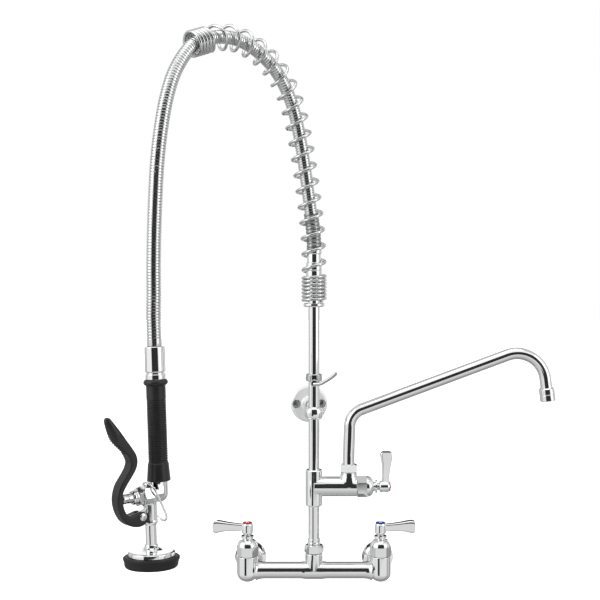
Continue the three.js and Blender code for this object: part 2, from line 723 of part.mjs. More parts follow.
function fingerHook() {
  const half = hookRingHeight / 2;
  const front = -hookRingRadius - 0.6;
  const ring = revolve([
    [0, -half], [hookRingRadius - 1, -half], [hookRingRadius, 1 - half], [hookRingRadius, half - 1],
    [hookRingRadius - 1, half], [0, half],
  ], MEDIUM);
  const boss = alongY(revolve([
    [0, -3.6], [4.4, -3.6], [5.6, -2], [5.6, 6], [0, 6],
  ], SMALL)).translate(0.4, front + 2, -5.2);
  const bar = sweep(circleShape(hookBarRadius, 0, SMALL), new THREE.CatmullRomCurve3([
    new THREE.Vector3(0, front, -6.2),
    new THREE.Vector3(hookReach * 0.2, front - hookForward * 0.3, -6.6),
    new THREE.Vector3(hookReach * 0.5, front - hookForward * 0.62, -4),
    new THREE.Vector3(hookReach * 0.8, front - hookForward * 0.9, hookRise * 0.3 - 4),
    new THREE.Vector3(hookReach - hookBarRadius, front - hookForward, hookRise - 6.2),
  ]), 7);
  const tip = new THREE.SphereGeometry(hookBarRadius * 1.02, SMALL, 6)
    .translate(hookReach - hookBarRadius, front - hookForward, hookRise - 6.2);
  const hole = rod(riserHole, -half - 8, half + 1, MEDIUM);
  const screwHole = alongX(rod(setScrewRadius + CLEARANCE, -hookRingRadius - 2, -riserRadius, SMALL));
  const group = groupOf(
    piece('finger_hook', cut(join(ring, boss, bar, tip), hole, screwHole), chrome),
    piece('hook_screw', alongX(rod(setScrewRadius, -hookRingRadius - 0.6, -riserRadius - CLEARANCE, SMALL)), steel),
  );
  group.position.z = hookHeight;
  return group;
}

// ---------------------------------------------------------------- the hose's route
// Hand-laid points of the arch in its own upright plane: [distance from the riser, height]. The hose leaves
// its adapter square and joins the spring's middle higher up; past the top the spring ends straight and the
// hose drops out of its lower side.
const risePoints = [
  [0, 408], [0, 436], [0, 462], [0.5, 485], [2.4, 512], [5.6, 538], [10, 566], [15.2, 596], [20.6, 624],
  [27, 653], [34.6, 682], [44.6, 709], [58.6, 734], [77, 755.5], [100, 772.5], [126, 784.5], [152, 789.8],
];
const hoseRootPoints = [
  [0, 470], [0, 480], [0, 490], [0, 498], [0.7, 510], [3, 527], [6.6, 548], [10.8, 571],
];
const springEndPoints = [[173, 788.4], [192.7, 783.6], [209.4, 777.4], [226.2, 771.1]];
const hoseDropPoints = [
  [173, 789.2], [193, 784.9], [204.6, 781.3], [215.4, 775.7], [225.4, 768.2], [240, 751], [254.5, 726],
  [266, 692], [275, 648], [281, 600], [283.8, 555], [285.6, 510], [286.4, 466], [286.2, 424],
];
const archSide = new THREE.Vector3(-Math.cos(degrees(archYaw)), -Math.sin(degrees(archYaw)), 0);
const archNormal = new THREE.Vector3(archSide.y, -archSide.x, 0);
const inArch = (reach, z) => archSide.clone().multiplyScalar(reach).setZ(z);
const hoseEnd = inArch(sprayReach, sprayHeight);
const sprayUp = new THREE.Vector3(0, 0, 1).applyAxisAngle(new THREE.Vector3(0, 1, 0), degrees(-sprayLean));

function smoothRoute(points) {
  const curve = new THREE.CatmullRomCurve3(points, false, 'centripetal');
  curve.arcLengthDivisions = 2000;
  return curve;
}

const hoseRoute = smoothRoute([
  ...[...hoseRootPoints, ...risePoints.filter(([, z]) => z > hoseRootPoints.at(-1)[1] + 20), ...hoseDropPoints]
    .map(([reach, z]) => inArch(reach, z)),
  hoseEnd.clone().addScaledVector(sprayUp, 40),
  hoseEnd.clone().addScaledVector(sprayUp, 20),
  hoseEnd,
]);
const springRoute = smoothRoute([...risePoints, ...springEndPoints].map(([reach, z]) => inArch(reach, z)));
const hoseRouteLength = hoseRoute.getLength();

// Centre, direction and two cross directions of a route, a given length along it.
function routeFrame(route, distance) {
  const u = THREE.MathUtils.clamp(distance / route.getLength(), 0, 1);
  const centre = route.getPointAt(u);
  const ahead = route.getTangentAt(u);
  const side = archNormal.clone().addScaledVector(ahead, -archNormal.dot(ahead)).normalize();
  const out = side.clone().cross(ahead).normalize();
  return { centre, ahead, side, out };
}

// How far along the hose's route it first reaches a height.
function distanceAtHeight(height) {
  for (let distance = 0; distance < hoseRouteLength; distance += 0.5) {
    if (hoseRoute.getPointAt(distance / hoseRouteLength).z >= height) return distance;
  }
  return hoseRouteLength;
}

// A tube over stations [distance, radius] with a bore over every few of them.
function ribbedTube(stations, bore, boreEvery) {
  const ringAt = (distance, radius) => {
    const { centre, side, out } = routeFrame(hoseRoute, distance);
    return Array.from({ length: hoseSides }, (_, k) => {
      const a = ((k + 0.5) * 2 * Math.PI) / hoseSides;
      return centre.clone().addScaledVector(side, radius * Math.cos(a)).addScaledVector(out, radius * Math.sin(a));
    });
  };
  const outer = stations.map(([distance, radius]) => ringAt(distance, radius));
  const inner = stations.filter((_, i) => i % boreEvery === 0 || i === stations.length - 1)
    .map(([distance]) => ringAt(distance, bore)).reverse();
  const rings = [...outer, ...inner];
  const corners = [];
  rings.forEach((_, i) => {
    const next = (i + 1) % rings.length;
    for (let k = 0; k < hoseSides; k += 1) {
      const turn = (k + 1) % hoseSides;
      const [a, b, c, d] = [i * hoseSides + k, i * hoseSides + turn, next * hoseSides + turn, next * hoseSides + k];
      corners.push(a, b, c, a, c, d);
    }
  });
  const geometry = new THREE.BufferGeometry().setFromPoints(rings.flat());
  geometry.setIndex(corners);
  return geometry;
}

// Stations of crests and grooves between two plain ends one hose diameter long.
function ribStations(start, end, radius, depth, plainEnd, ribs) {
  const pitch = (end - start - 2 * plainEnd) / ribs;
  const stations = [[start, radius], [start + plainEnd, radius]];
  for (let i = 0; i < ribs; i += 1) {
    stations.push([start + plainEnd + (i + 0.3) * pitch, radius - depth]);
    stations.push([start + plainEnd + (i + 0.8) * pitch, radius]);
  }
  stations.push([end, radius]);
  return stations;
}

const hoseStart = distanceAtHeight(adapterTop + CLEARANCE);

function hose() {
  const stations = ribStations(hoseStart, hoseRouteLength, hoseRadius, ribDepth, 2 * hoseRadius, hoseRibs);
  return piece('hose', ribbedTube(stations, hoseBore, 10), steel);
}

function hoseSleeve() {
  const stations = ribStations(hoseStart, hoseStart + sleeveLength, sleeveRadius, 0.8, 3, 9);
  return piece('hose_sleeve', ribbedTube(stations, hoseRadius + CLEARANCE + 0.3, 6), steel);
}

// ---------------------------------------------------------------- spring
// Closed turns stand on the collar, the open turns carry the hose over the arch, and closed turns end it.
function springPoints() {
  const stepsPerTurn = 8;
  const start = springWire + springCollarBottom + springCollarHeight + CLEARANCE - risePoints[0][1];
  const closedEnd = start + springClosedTurns * springClosedPitch;
  const springLength = springRoute.getLength();
  const openEnd = springLength - springEndTurns * springClosedPitch;
  const pitchAt = (distance) => (distance < closedEnd || distance > openEnd ? springClosedPitch : springOpenPitch);
  const points = [];
  let distance = start;
  for (let i = 0; distance <= springLength; i += 1) {
    const { centre, side, out } = routeFrame(springRoute, distance);
    const a = (i * 2 * Math.PI) / stepsPerTurn;
    const spoke = out.multiplyScalar(Math.cos(a)).addScaledVector(side, Math.sin(a));
    points.push({ spoke, point: centre.addScaledVector(spoke, springRadius - springWire) });
    distance += pitchAt(distance) / stepsPerTurn;
  }
  return points;
}

function springPiece() {
  const coil = springPoints();
  const sectionSides = 5;
  const rings = coil.map(({ spoke, point }, i) => {
    const before = coil[Math.max(i - 1, 0)].point;
    const after = coil[Math.min(i + 1, coil.length - 1)].point;
    const ahead = after.clone().sub(before).normalize();
    const across = spoke.clone().addScaledVector(ahead, -spoke.dot(ahead)).normalize();
    const third = ahead.clone().cross(across);
    return Array.from({ length: sectionSides }, (_, k) => {
      const a = (k * 2 * Math.PI) / sectionSides;
      return point.clone()
        .addScaledVector(across, springWire * Math.cos(a)).addScaledVector(third, springWire * Math.sin(a));
    });
  });
  console.log(`spring: ${springRoute.getLength().toFixed(1)} mm long, ${(coil.length / 8).toFixed(1)} turns, least gap to itself ${leastGap(coil).toFixed(2)} mm`);
  return piece('spring', loft(rings), chrome);
}

// The least distance between wire centres at least half a turn apart, less the wire.
function leastGap(coil) {
  let least = Infinity;
  const between = (a, b, p) => new THREE.Line3(a, b).closestPointToPoint(p, true, new THREE.Vector3()).distanceTo(p);
  for (let i = 0; i < coil.length; i += 1) {
    for (let j = i + 5; j + 1 < Math.min(coil.length, i + 14); j += 1) {
      least = Math.min(least, between(coil[j].point, coil[j + 1].point, coil[i].point));
    }
  }
  return least - 2 * springWire;
}

function springCollar() {
  const top = springCollarBottom + springCollarHeight;
  return piece('spring_collar', revolve([
    [riserHole, springCollarBottom], [springCollarRadius - 1.4, springCollarBottom],
    [springCollarRadius, springCollarBottom + 1.4], [springCollarRadius, top - 0.8],
    [springCollarRadius - 0.8, top], [riserHole, top],
  ]), chrome);
}

function hoseAdapter() {
  const step = adapterBottom + 24;
  const socketFloor = adapterBottom + socketDepth + CLEARANCE;
  return piece('hose_adapter', revolve([
    [riserHole, adapterBottom], [adapterRadius - 0.8, adapterBottom], [adapterRadius, adapterBottom + 1],
    [adapterRadius, step - 1], [adapterNeck, step], [adapterNeck, adapterTop - 6], [adapterRadius - 0.4, adapterTop - 5],
    [adapterRadius - 0.4, adapterTop], [hoseBore, adapterTop], [hoseBore, socketFloor], [riserHole, socketFloor],
  ], MEDIUM), chrome);
}

// ---------------------------------------------------------------- spray valve
// Drawn about the grip's axis: +X forward to the lever, heights below the hose's end.
const gripTop = hoseNutLength + collarNeckLength + gripCollarLength + 2 * CLEARANCE;
const gripBottom = gripTop + gripLength;
const shankHole = around(bodyShankRadius, MEDIUM);
const pivotHole = around(pivotRadius, SMALL);
const plungerHole = around(plungerRadius, MEDIUM);
const neckHole = around(neckRadius, MEDIUM);
const faceHole = around(faceRadius);

function hoseNut() {
  const r = hoseNutRadius;
  return piece('hose_nut', revolve([
    [hoseBore, -CLEARANCE], [r - 2, -CLEARANCE], [r - 0.9, -1.6], [r - 0.9, -5], [r - 1.8, -6], [r - 1.8, -8], [r - 1, -9.4],
    [r, 4 - hoseNutLength], [r, 1.4 - hoseNutLength], [r - 1.2, -hoseNutLength], [shankHole, -hoseNutLength],
    [shankHole, -13], [hoseBore, -13],
  ], MEDIUM), chrome);
}

function gripCollar() {
  const top = hoseNutLength + CLEARANCE;
  const neck = top + collarNeckLength;
  const bottom = neck + gripCollarLength;
  return piece('grip_collar', revolve([
    [shankHole, -top], [gripCollarRadius - 2.4, -top], [gripCollarRadius - 2.4, -neck], [gripCollarRadius - 0.6, -neck],
    [gripCollarRadius, -neck - 1], [gripCollarRadius, -bottom], [shankHole, -bottom],
  ], MEDIUM), chrome);
}

// Moulded grip: a rim at the top, a slim waist and a skirt round the valve's neck, notched for its boss.
function grip() {
  const rimFoot = gripTop + gripRimHeight;
  const skirtTop = gripBottom - gripSkirtHeight;
  const notch = alongX(rod(around(bodyBoss / Math.cos(Math.PI / 6), MEDIUM), 2, 2 * gripRadius, MEDIUM))
    .translate(0, 0, -bonnetDrop);
  const moulding = revolve([
    [shankHole, -gripTop], [gripRimRadius - 1, -gripTop], [gripRimRadius, -gripTop - 1.2],
    [gripRimRadius, -rimFoot + 2], [gripRadius + 0.6, -rimFoot], [gripRadius, -rimFoot - 4],
    [gripRadius, -skirtTop + 3], [gripSkirtRadius - 1, -skirtTop - 1], [gripSkirtRadius, -skirtTop - 5],
    [gripSkirtRadius, -gripBottom + 1], [gripSkirtRadius - 1, -gripBottom],
    [neckHole, -gripBottom], [neckHole, -gripBottom + 8],
    [shankHole, -gripBottom + 11],
  ], MEDIUM);
  return piece('grip', cut(moulding, notch), nylon);
}

// Cast valve body: shank, elbow, plunger boss, outlet barrel and the lever's lug.
function valveBody() {
  const shank = rod(bodyShankRadius, -bonnetDrop, -hoseNutLength + 18, MEDIUM);
  const neckTop = gripBottom - 8 + CLEARANCE;
  const neck = revolve([
    [0, -bonnetDrop], [neckRadius, -bonnetDrop], [neckRadius, -neckTop], [bodyShankRadius, -neckTop + 2.6], [0, -neckTop + 2.6],
  ], MEDIUM);
  const elbow = new THREE.SphereGeometry(neckRadius * 1.002, MEDIUM, 8).translate(0, 0, -bonnetDrop);
  const run = alongX(rod(neckRadius, 0, outletReach, MEDIUM)).translate(0, 0, -bonnetDrop);
  const boss = alongX(hexBar(bodyBoss * 2, outletReach - 4, bodyBossEnd, 1.4, 1).rotateZ(Math.PI / 6))
    .translate(0, 0, -bonnetDrop);
  const barrel = revolve([
    [0, -outletTubeBottom], [outletTubeRadius, -outletTubeBottom], [outletTubeRadius, -outletBarrelBottom - 1.4],
    [outletBarrelRadius - 0.6, -outletBarrelBottom - 0.6], [outletBarrelRadius + 0.7, -outletBarrelBottom + 0.6],
    [outletBarrelRadius + 0.7, -outletBarrelBottom + 2.6], [outletBarrelRadius, -outletBarrelBottom + 3.6],
    [outletBarrelRadius, -bonnetDrop - 10], [outletBarrelRadius + 2, -bonnetDrop - 4], [0, -bonnetDrop],
  ], MEDIUM).translate(outletReach, 0, 0);
  const lug = new THREE.Shape();
  lug.moveTo(outletReach, -pivotDrop + 10);
  lug.lineTo(pivotReach - 1, -pivotDrop + lugRadius + 0.2);
  lug.absarc(pivotReach, -pivotDrop, lugRadius, Math.PI / 2, -Math.PI / 2, true);
  lug.lineTo(outletReach, -pivotDrop - 7);
  const lugPlate = new THREE.ExtrudeGeometry(lug, { depth: lugThickness, bevelEnabled: false, curveSegments: 8 })
    .translate(0, 0, -lugThickness / 2).rotateX(Math.PI / 2);
  const lugHole = alongY(rod(pivotHole, -lugThickness, lugThickness, SMALL))
    .translate(pivotReach, 0, -pivotDrop);
  const bore = alongX(rod(plungerHole + 2, plungerTail - 12, bodyBossEnd + 1, MEDIUM))
    .translate(0, 0, -bonnetDrop);
  const waterIn = rod(4, -bonnetDrop, -hoseNutLength + 19, SMALL);
  const crossPort = alongX(rod(4, 0, outletReach, SMALL)).translate(0, 0, -bonnetDrop);
  const waterOut = rod(4, -outletTubeBottom - 1, -bonnetDrop, SMALL).translate(outletReach, 0, 0);
  return piece('valve_body', cut(
    join(shank, neck, elbow, run, boss, barrel, lugPlate),
    lugHole, bore, waterIn, crossPort, waterOut,
  ), chrome);
}

function sprayBonnet() {
  const start = bodyBossEnd + CLEARANCE;
  const hexEnd = start + sprayBonnetHex;
  const end = hexEnd + sprayBonnetNose;
  const bore = plungerHole;
  const nose = revolve([[0, hexEnd - 0.5], [9.6, hexEnd - 0.5], [9.6, end - 1.6], [8.4, end], [0, end]], MEDIUM);
  const thread = rod(bore + 1.4, plungerTail + 2, start + 1, MEDIUM);
  const shape = cut(join(hexBar(sprayBonnetFlats, start, hexEnd), nose, thread), rod(bore, plungerTail, end + 1, MEDIUM));
  return piece('spray_bonnet', alongX(shape).translate(0, 0, -bonnetDrop), chrome);
}

function plunger() {
  return piece('plunger', alongX(revolve([
    [0, plungerTail], [plungerRadius, plungerTail], [plungerRadius, plungerTip - 3],
    ...arc(0, plungerTip - 3, plungerRadius, 3, 0, 90, 4).slice(1),
  ], MEDIUM)).translate(0, 0, -bonnetDrop), steel);
}

// Moulded squeeze lever: forked at its pivot, curling round the plunger, then rising along the grip.
function squeezeLever() {
  const spine = [ // share of the reach and rise from the pivot, share of the full thickness and width
    [-0.1, -0.011, 1.2, 0.94], [0.089, -0.027, 1.25, 1], [0.335, -0.025, 1.1, 1], [0.536, 0.018, 1, 1],
    [0.665, 0.09, 0.95, 1], [0.723, 0.187, 0.9, 1], [0.683, 0.277, 0.95, 1], [0.531, 0.363, 1, 1],
    [0.335, 0.45, 1, 1], [0.223, 0.525, 1.05, 1], [0.232, 0.607, 1.1, 1], [0.393, 0.693, 1.15, 1.02],
    [0.594, 0.789, 1.2, 1.06], [0.786, 0.885, 1.22, 1.12], [0.938, 0.964, 1, 1.14], [1, 1, 0.5, 1.05],
  ];
  const at = ([reach, rise], y) => new THREE.Vector3(pivotReach + leverReach * reach, y, leverRise * rise - pivotDrop);
  const centres = spine.map((station) => at(station, 0));
  const curve = new THREE.CatmullRomCurve3(centres, false, 'centripetal');
  const rings = spine.map(([, , thick, wide], i) => {
    const ahead = curve.getTangent(i / (spine.length - 1));
    const across = new THREE.Vector3(0, 1, 0);
    return ovalSection(centres[i], across, ahead.clone().cross(across), (leverWidth / 2) * wide, (leverThickness / 2) * thick);
  });
  const fork = loft([-1, 1].map((side) => [
    [-0.179, 0.041], [0.112, 0.048], [0.379, 0.019], [0.335, -0.079], [0.089, -0.085], [-0.112, -0.072], [-0.187, -0.037],
  ].map((corner) => at(corner, side * (leverWidth / 2 - 0.2)))));
  const slotWidth = lugThickness + 2 * CLEARANCE;
  const slotBack = outletReach - pivotReach - lugRadius;
  const slotFront = lugRadius + 2.2;
  const slot = new THREE.BoxGeometry(slotFront - slotBack, slotWidth, 7 * lugRadius)
    .translate(pivotReach + (slotFront + slotBack) / 2, 0, -pivotDrop);
  const hole = alongY(rod(pivotHole, -leverWidth, leverWidth, SMALL)).translate(pivotReach, 0, -pivotDrop);
  const barrelRelief = rod(outletBarrelRadius + 2.2, -0.15 * leverRise, 0.15 * leverRise, MEDIUM)
    .translate(outletReach, 0, -pivotDrop);
  return piece('squeeze_lever', cut(join(loft(rings), fork), slot, hole, barrelRelief), nylon);
}

function leverPivot() {
  const face = leverWidth / 2 + CLEARANCE;
  return piece('lever_pivot', alongY(revolve([
    [0, -face - 1.8], [pivotRadius + 1.6, -face - 1.8], [pivotRadius + 2, -face], [pivotRadius, -face], [pivotRadius, face],
    [pivotHead, face], [pivotHead, face + 1], [pivotHead - 1.4, face + 2.2], [0, face + 2.2],
  ], SMALL)).translate(pivotReach, 0, -pivotDrop), steel);
}

// Oblong wire link that hangs round the valve's neck; it flips over the lever's end to hold it open.
function holdRing() {
  const top = new THREE.Vector3(ringTopReach, 0, -ringTopDrop);
  const bottom = new THREE.Vector3(ringEndReach, 0, -ringEndDrop);
  const along = bottom.clone().sub(top).normalize();
  const end = ringWidth / 2;
  const length = bottom.distanceTo(top);
  const across = new THREE.Vector3(0, 1, 0);
  const flat = along.clone().cross(across);
  const stations = [];
  const bend = 6;
  for (let i = 0; i <= bend; i += 1) stations.push([end, Math.PI + (i * Math.PI) / bend]);
  for (let i = 0; i <= bend; i += 1) stations.push([length - end, (i * Math.PI) / bend]);
  const sides = 8;
  const rings = stations.map(([middle, a]) => {
    const spoke = across.clone().multiplyScalar(Math.cos(a)).addScaledVector(along, Math.sin(a));
    const centre = top.clone().addScaledVector(along, middle).addScaledVector(spoke, end);
    return Array.from({ length: sides }, (_, k) => {
      const b = ((k + 0.5) * 2 * Math.PI) / sides;
      return centre.clone().addScaledVector(spoke, ringWire * Math.cos(b)).addScaledVector(flat, ringWire * Math.sin(b));
    });
  });
  const corners = [];
  rings.forEach((_, i) => {
    const next = (i + 1) % rings.length;
    for (let k = 0; k < sides; k += 1) {
      const turn = (k + 1) % sides;
      const [a, b, c, d] = [i * sides + k, i * sides + turn, next * sides + turn, next * sides + k];
      corners.push(a, b, c, a, c, d);
    }
  });
  const geometry = new THREE.BufferGeometry().setFromPoints(rings.flat());
  geometry.setIndex(corners);
  return piece('hold_ring', geometry, chrome);
}

// Spray head: a dished plate with a drilled face, in a rubber bumper.
function sprayHead() {
  const hub = around(outletTubeRadius, MEDIUM);
  const plate = revolve([
    [hub, -outletTubeBottom + 3], [hub + 1.8, -outletTubeBottom + 3], [hub + 2.4, -outletTubeBottom - 2],
    [hub + 7, -outletTubeBottom - 3.6], [plateRadius - 3, -plateTop + 0.8], [plateRadius, -plateTop - 0.6],
    [plateRadius, -bumperTop + CLEARANCE], [faceRadius, -bumperTop + CLEARANCE], [faceRadius, -bumperBottom + 2.6],
    [0, -bumperBottom + 2.6], [0, -outletTubeBottom - 4.6], [hub, -outletTubeBottom - 4.6],
  ]);
  const bumper = revolve([
    [faceHole, -bumperTop], [bumperRadius - 1.4, -bumperTop], [bumperRadius, -bumperTop - 1.6],
    [bumperRadius, -bumperTop - 4], [bumperFoot + 1, -bumperBottom + 1.6], [bumperFoot - 0.6, -bumperBottom],
    [faceHole + 1.4, -bumperBottom], [faceHole, -bumperBottom + 1.4],
  ]);
  const screwDrop = outletTubeBottom - 0.5;
  const screwHole = alongY(rod(1.5, 0, 14, SMALL)).translate(0, 0, -screwDrop);
  const screw = alongY(revolve([[0, hub], [1.2, hub], [1.2, hub + 2.8], [2.4, hub + 2.8], [2.4, hub + 4.2],
    [0, hub + 4.6]], SMALL)).translate(outletReach, 0, -screwDrop);
  return groupOf(
    piece('spray_plate', cut(plate, screwHole).translate(outletReach, 0, 0), chrome),
    piece('bumper', bumper.translate(outletReach, 0, 0), rubber),
    piece('head_screw', screw, steel),
  );
}

function sprayValve() {
  const turned = groupOf(
    hoseNut(), gripCollar(), grip(), valveBody(), sprayBonnet(), plunger(), squeezeLever(), leverPivot(), holdRing(),
    sprayHead(),
  );
  turned.rotation.z = Math.PI + degrees(archYaw);
  const leaning = groupOf(turned);
  leaning.rotation.y = degrees(-sprayLean);
  leaning.position.copy(hoseEnd);
  return leaning;
}

// ---------------------------------------------------------------- assembly
const group = groupOf(
  baseBody(),
  inlet('hot', -valveX),
  inlet('cold', valveX),
  valveHeads(),
  outletNut(),
  lowerRiser(),
  addonBody(),
  riser(),
  spoutPieces(),
  wallBracket(),
  fingerHook(),
  springCollar(),
  springPiece(),
  hoseAdapter(),
  hoseSleeve(),
  hose(),
  sprayValve(),
);
group.position.y = -wallStandoff;
console.log(`hose: ${(hoseRouteLength - hoseStart).toFixed(0)} mm long`);

export default group;
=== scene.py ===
from math import atan2, cos, degrees, pi, radians, sin, sqrt, tan

import bpy
from mathutils import Matrix, Vector


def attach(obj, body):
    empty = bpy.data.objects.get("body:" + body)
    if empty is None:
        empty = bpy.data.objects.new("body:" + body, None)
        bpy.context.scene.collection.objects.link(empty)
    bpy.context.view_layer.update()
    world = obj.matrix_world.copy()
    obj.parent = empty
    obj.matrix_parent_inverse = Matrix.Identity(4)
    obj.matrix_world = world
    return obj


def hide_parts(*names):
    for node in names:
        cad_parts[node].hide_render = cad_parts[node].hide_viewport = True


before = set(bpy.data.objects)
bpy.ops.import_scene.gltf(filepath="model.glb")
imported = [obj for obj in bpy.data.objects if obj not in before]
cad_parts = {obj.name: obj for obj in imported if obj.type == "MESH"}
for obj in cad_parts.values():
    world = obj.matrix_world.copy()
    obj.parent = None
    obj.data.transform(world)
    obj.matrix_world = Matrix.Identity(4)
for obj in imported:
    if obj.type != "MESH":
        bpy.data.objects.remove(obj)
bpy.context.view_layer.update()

# ---------- camera, stage and light
# The faucet hangs in a bright white studio whose walls fall to grey at the sides and behind. Dark cards
# before and behind it put the black stripes on the chrome, and a light grey one shades its flat faces;
# these cards and the soft lights are never seen directly.
MM = 0.001
PHOTO_SIDE = 600  # pixels
PHOTO_FOCAL = 1050  # pixels
LEVEL_POINT = (316, 275)  # where a line straight ahead of the camera meets the photograph
SENSOR = 36
CAMERA_PLACE = (3.1 * MM, -1685 * MM, 451 * MM)
FLOOR_HEIGHT = -260 * MM
UPRIGHT = (pi / 2, 0, 0)
WHITE = (1.0, 1.0, 1.0, 1.0)
STUDIO_STRENGTH = 1.12
STUDIO_SHADES = (  # a direction, and the shades met from its far end (0) to its near end (1)
    ((0.225, 0.974, 0), ((0, 1.0), (0.425, 1.0), (0.46, 0.4), (0.5, 0.46), (0.56, 0.66), (0.74, 0.7),
                         (0.8, 0.3), (0.87, 0.42), (0.93, 1.0), (1, 1.0))),
    ((0, 0, 1), ((0, 0.4), (0.25, 0.6), (0.4, 0.73), (0.48, 0.85), (0.52, 1.0), (0.8, 0.96),
                 (0.95, 0.8), (1, 0.72))),
)

bpy.ops.object.camera_add(location=CAMERA_PLACE, rotation=UPRIGHT)
camera = bpy.context.object
camera.data.sensor_width = SENSOR
camera.data.lens = SENSOR * PHOTO_FOCAL / PHOTO_SIDE
camera.data.shift_x = 0.5 - LEVEL_POINT[0] / PHOTO_SIDE
camera.data.shift_y = LEVEL_POINT[1] / PHOTO_SIDE - 0.5
bpy.context.scene.camera = camera

world = bpy.data.worlds.new("white_studio")
world.use_nodes = True
nodes, links = world.node_tree.nodes, world.node_tree.links
way = nodes.new("ShaderNodeTexCoord")
walls = nodes["Background"]
walls.inputs["Strength"].default_value = STUDIO_STRENGTH
blend = nodes.new("ShaderNodeVectorMath")
blend.operation = "MULTIPLY"
links.new(blend.outputs["Vector"], walls.inputs["Color"])
for slot, (toward, stops) in enumerate(STUDIO_SHADES):
    along = nodes.new("ShaderNodeVectorMath")
    along.operation = "DOT_PRODUCT"
    along.inputs[1].default_value = toward
    links.new(way.outputs["Generated"], along.inputs[0])
    share = nodes.new("ShaderNodeMapRange")
    share.inputs["From Min"].default_value = -1
    links.new(along.outputs["Value"], share.inputs["Value"])
    ramp = nodes.new("ShaderNodeValToRGB")
    for i, (place, shade) in enumerate(stops):
        stop = ramp.color_ramp.elements[i] if i < 2 else ramp.color_ramp.elements.new(place)
        stop.position = place
        stop.color = (shade, shade, shade, 1)
    links.new(share.outputs["Result"], ramp.inputs["Fac"])
    links.new(ramp.outputs["Color"], blend.inputs[slot])
backdrop = nodes.new("ShaderNodeBackground")
backdrop.inputs["Color"].default_value = WHITE
seen = nodes.new("ShaderNodeLightPath")
choice = nodes.new("ShaderNodeMixShader")
links.new(seen.outputs["Is Camera Ray"], choice.inputs[0])
links.new(walls.outputs["Background"], choice.inputs[1])
links.new(backdrop.outputs["Background"], choice.inputs[2])
links.new(choice.outputs["Shader"], nodes["World Output"].inputs["Surface"])
bpy.context.scene.world = world
bpy.context.scene.view_settings.view_transform = "Standard"


def stage_card(name, place, turn, width, height, shade, seen=False):
    """A flat card of the studio that gives off its own shade. Unless it is seen, it only shows in
    reflections."""
    bpy.ops.mesh.primitive_plane_add(size=1, location=place, rotation=turn)
    card = bpy.context.object
    card.name = name
    card.scale = (width, height, 1)
    bpy.ops.object.transform_apply()
    paint = bpy.data.materials.new(name)
    paint.use_nodes = True
    shader = paint.node_tree.nodes["Principled BSDF"]
    shader.inputs["Base Color"].default_value = WHITE if seen else (0, 0, 0, 1)
    shader.inputs["Roughness"].default_value = 0.9
    shader.inputs["Specular IOR Level"].default_value = 0.0
    shader.inputs["Emission Color"].default_value = (shade, shade, shade, 1)
    shader.inputs["Emission Strength"].default_value = 1.0
    card.data.materials.append(paint)
    card.visible_diffuse = False
    if seen:
        card.visible_glossy = False
    else:
        card.visible_camera = False
        card.visible_shadow = False


stage_card("studio_floor", (0, 0, FLOOR_HEIGHT), (0, 0, 0), 30, 30, 0.6, seen=True)
stage_card("dark_card", (0.33, -2.6, 0.86), UPRIGHT, 3.65, 2.48, 0.028)
stage_card("back_card", (0.45, 2.6, 0.86), UPRIGHT, 1.6, 2.2, 0.03)
stage_card("low_card", (-0.98, -2.6, -0.68), UPRIGHT, 1.1, 0.6, 0.028)
stage_card("grey_card", (0.8, -2.6, -0.54), UPRIGHT, 2.44, 0.32, 0.72)


def soft_light(name, place, aim, size, power):
    direction = Vector(aim) - Vector(place)
    turn = direction.to_track_quat("-Z", "Y").to_euler()
    bpy.ops.object.light_add(type="AREA", location=place, rotation=turn)
    lamp = bpy.context.object
    lamp.name = name
    lamp.data.shape = "RECTANGLE"
    lamp.data.size, lamp.data.size_y = size
    lamp.data.energy = power
    lamp.visible_camera = False


soft_light("left_softbox", (-1.7, -1.1, 1.2), (0, -0.1, 0.35), (0.7, 1.8), 7)
soft_light("right_softbox", (1.9, -0.9, 0.9), (0, -0.1, 0.3), (0.5, 1.6), 4)
soft_light("top_softbox", (0.1, -0.3, 2.1), (0, -0.1, 0.3), (1.6, 1.2), 6)

# ---------- hose
# The water hose: a rubber core in a ribbed casing of stainless strip. It leaves the riser's adapter
# straight up inside the spring, drops out of the spring's end and hangs to the spray valve, where it is
# crimped into a turned, chromed nut.
RISER_TO_WALL = 80  # mm
ARCH_YAW = radians(41)
HOSE_ROOT = [(0, 470), (0, 480), (0, 490), (0, 498), (0.7, 510), (3, 527), (6.6, 548), (10.8, 571)]
ARCH_RISE = [
    (0, 408), (0, 436), (0, 462), (0.5, 485), (2.4, 512), (5.6, 538), (10, 566), (15.2, 596), (20.6, 624),
    (27, 653), (34.6, 682), (44.6, 709), (58.6, 734), (77, 755.5), (100, 772.5), (126, 784.5), (152, 789.8),
]
HOSE_DROP = [
    (173, 789.2), (193, 784.9), (204.6, 781.3), (215.4, 775.7), (225.4, 768.2), (240, 751), (254.5, 726),
    (266, 692), (275, 648), (281, 600), (283.8, 555), (285.6, 510), (286.4, 466), (286.2, 424),
]
HOSE_RADIUS = 9.75
HOSE_START = 19.5  # along the route
RIB_PITCH = 4
RIB_DEPTHS = (1.4, 0.08, 0.0, 0.0, 0.0, 0.0, 0.0, 0.08)  # under the crest, over one rib
SPRAY_LEAN = radians(1.9)


def in_arch(reach, height):
    """A point of the arch's upright plane, from its distance to the riser and its height."""
    return Vector((-cos(ARCH_YAW) * reach, -RISER_TO_WALL - sin(ARCH_YAW) * reach, height)) * MM


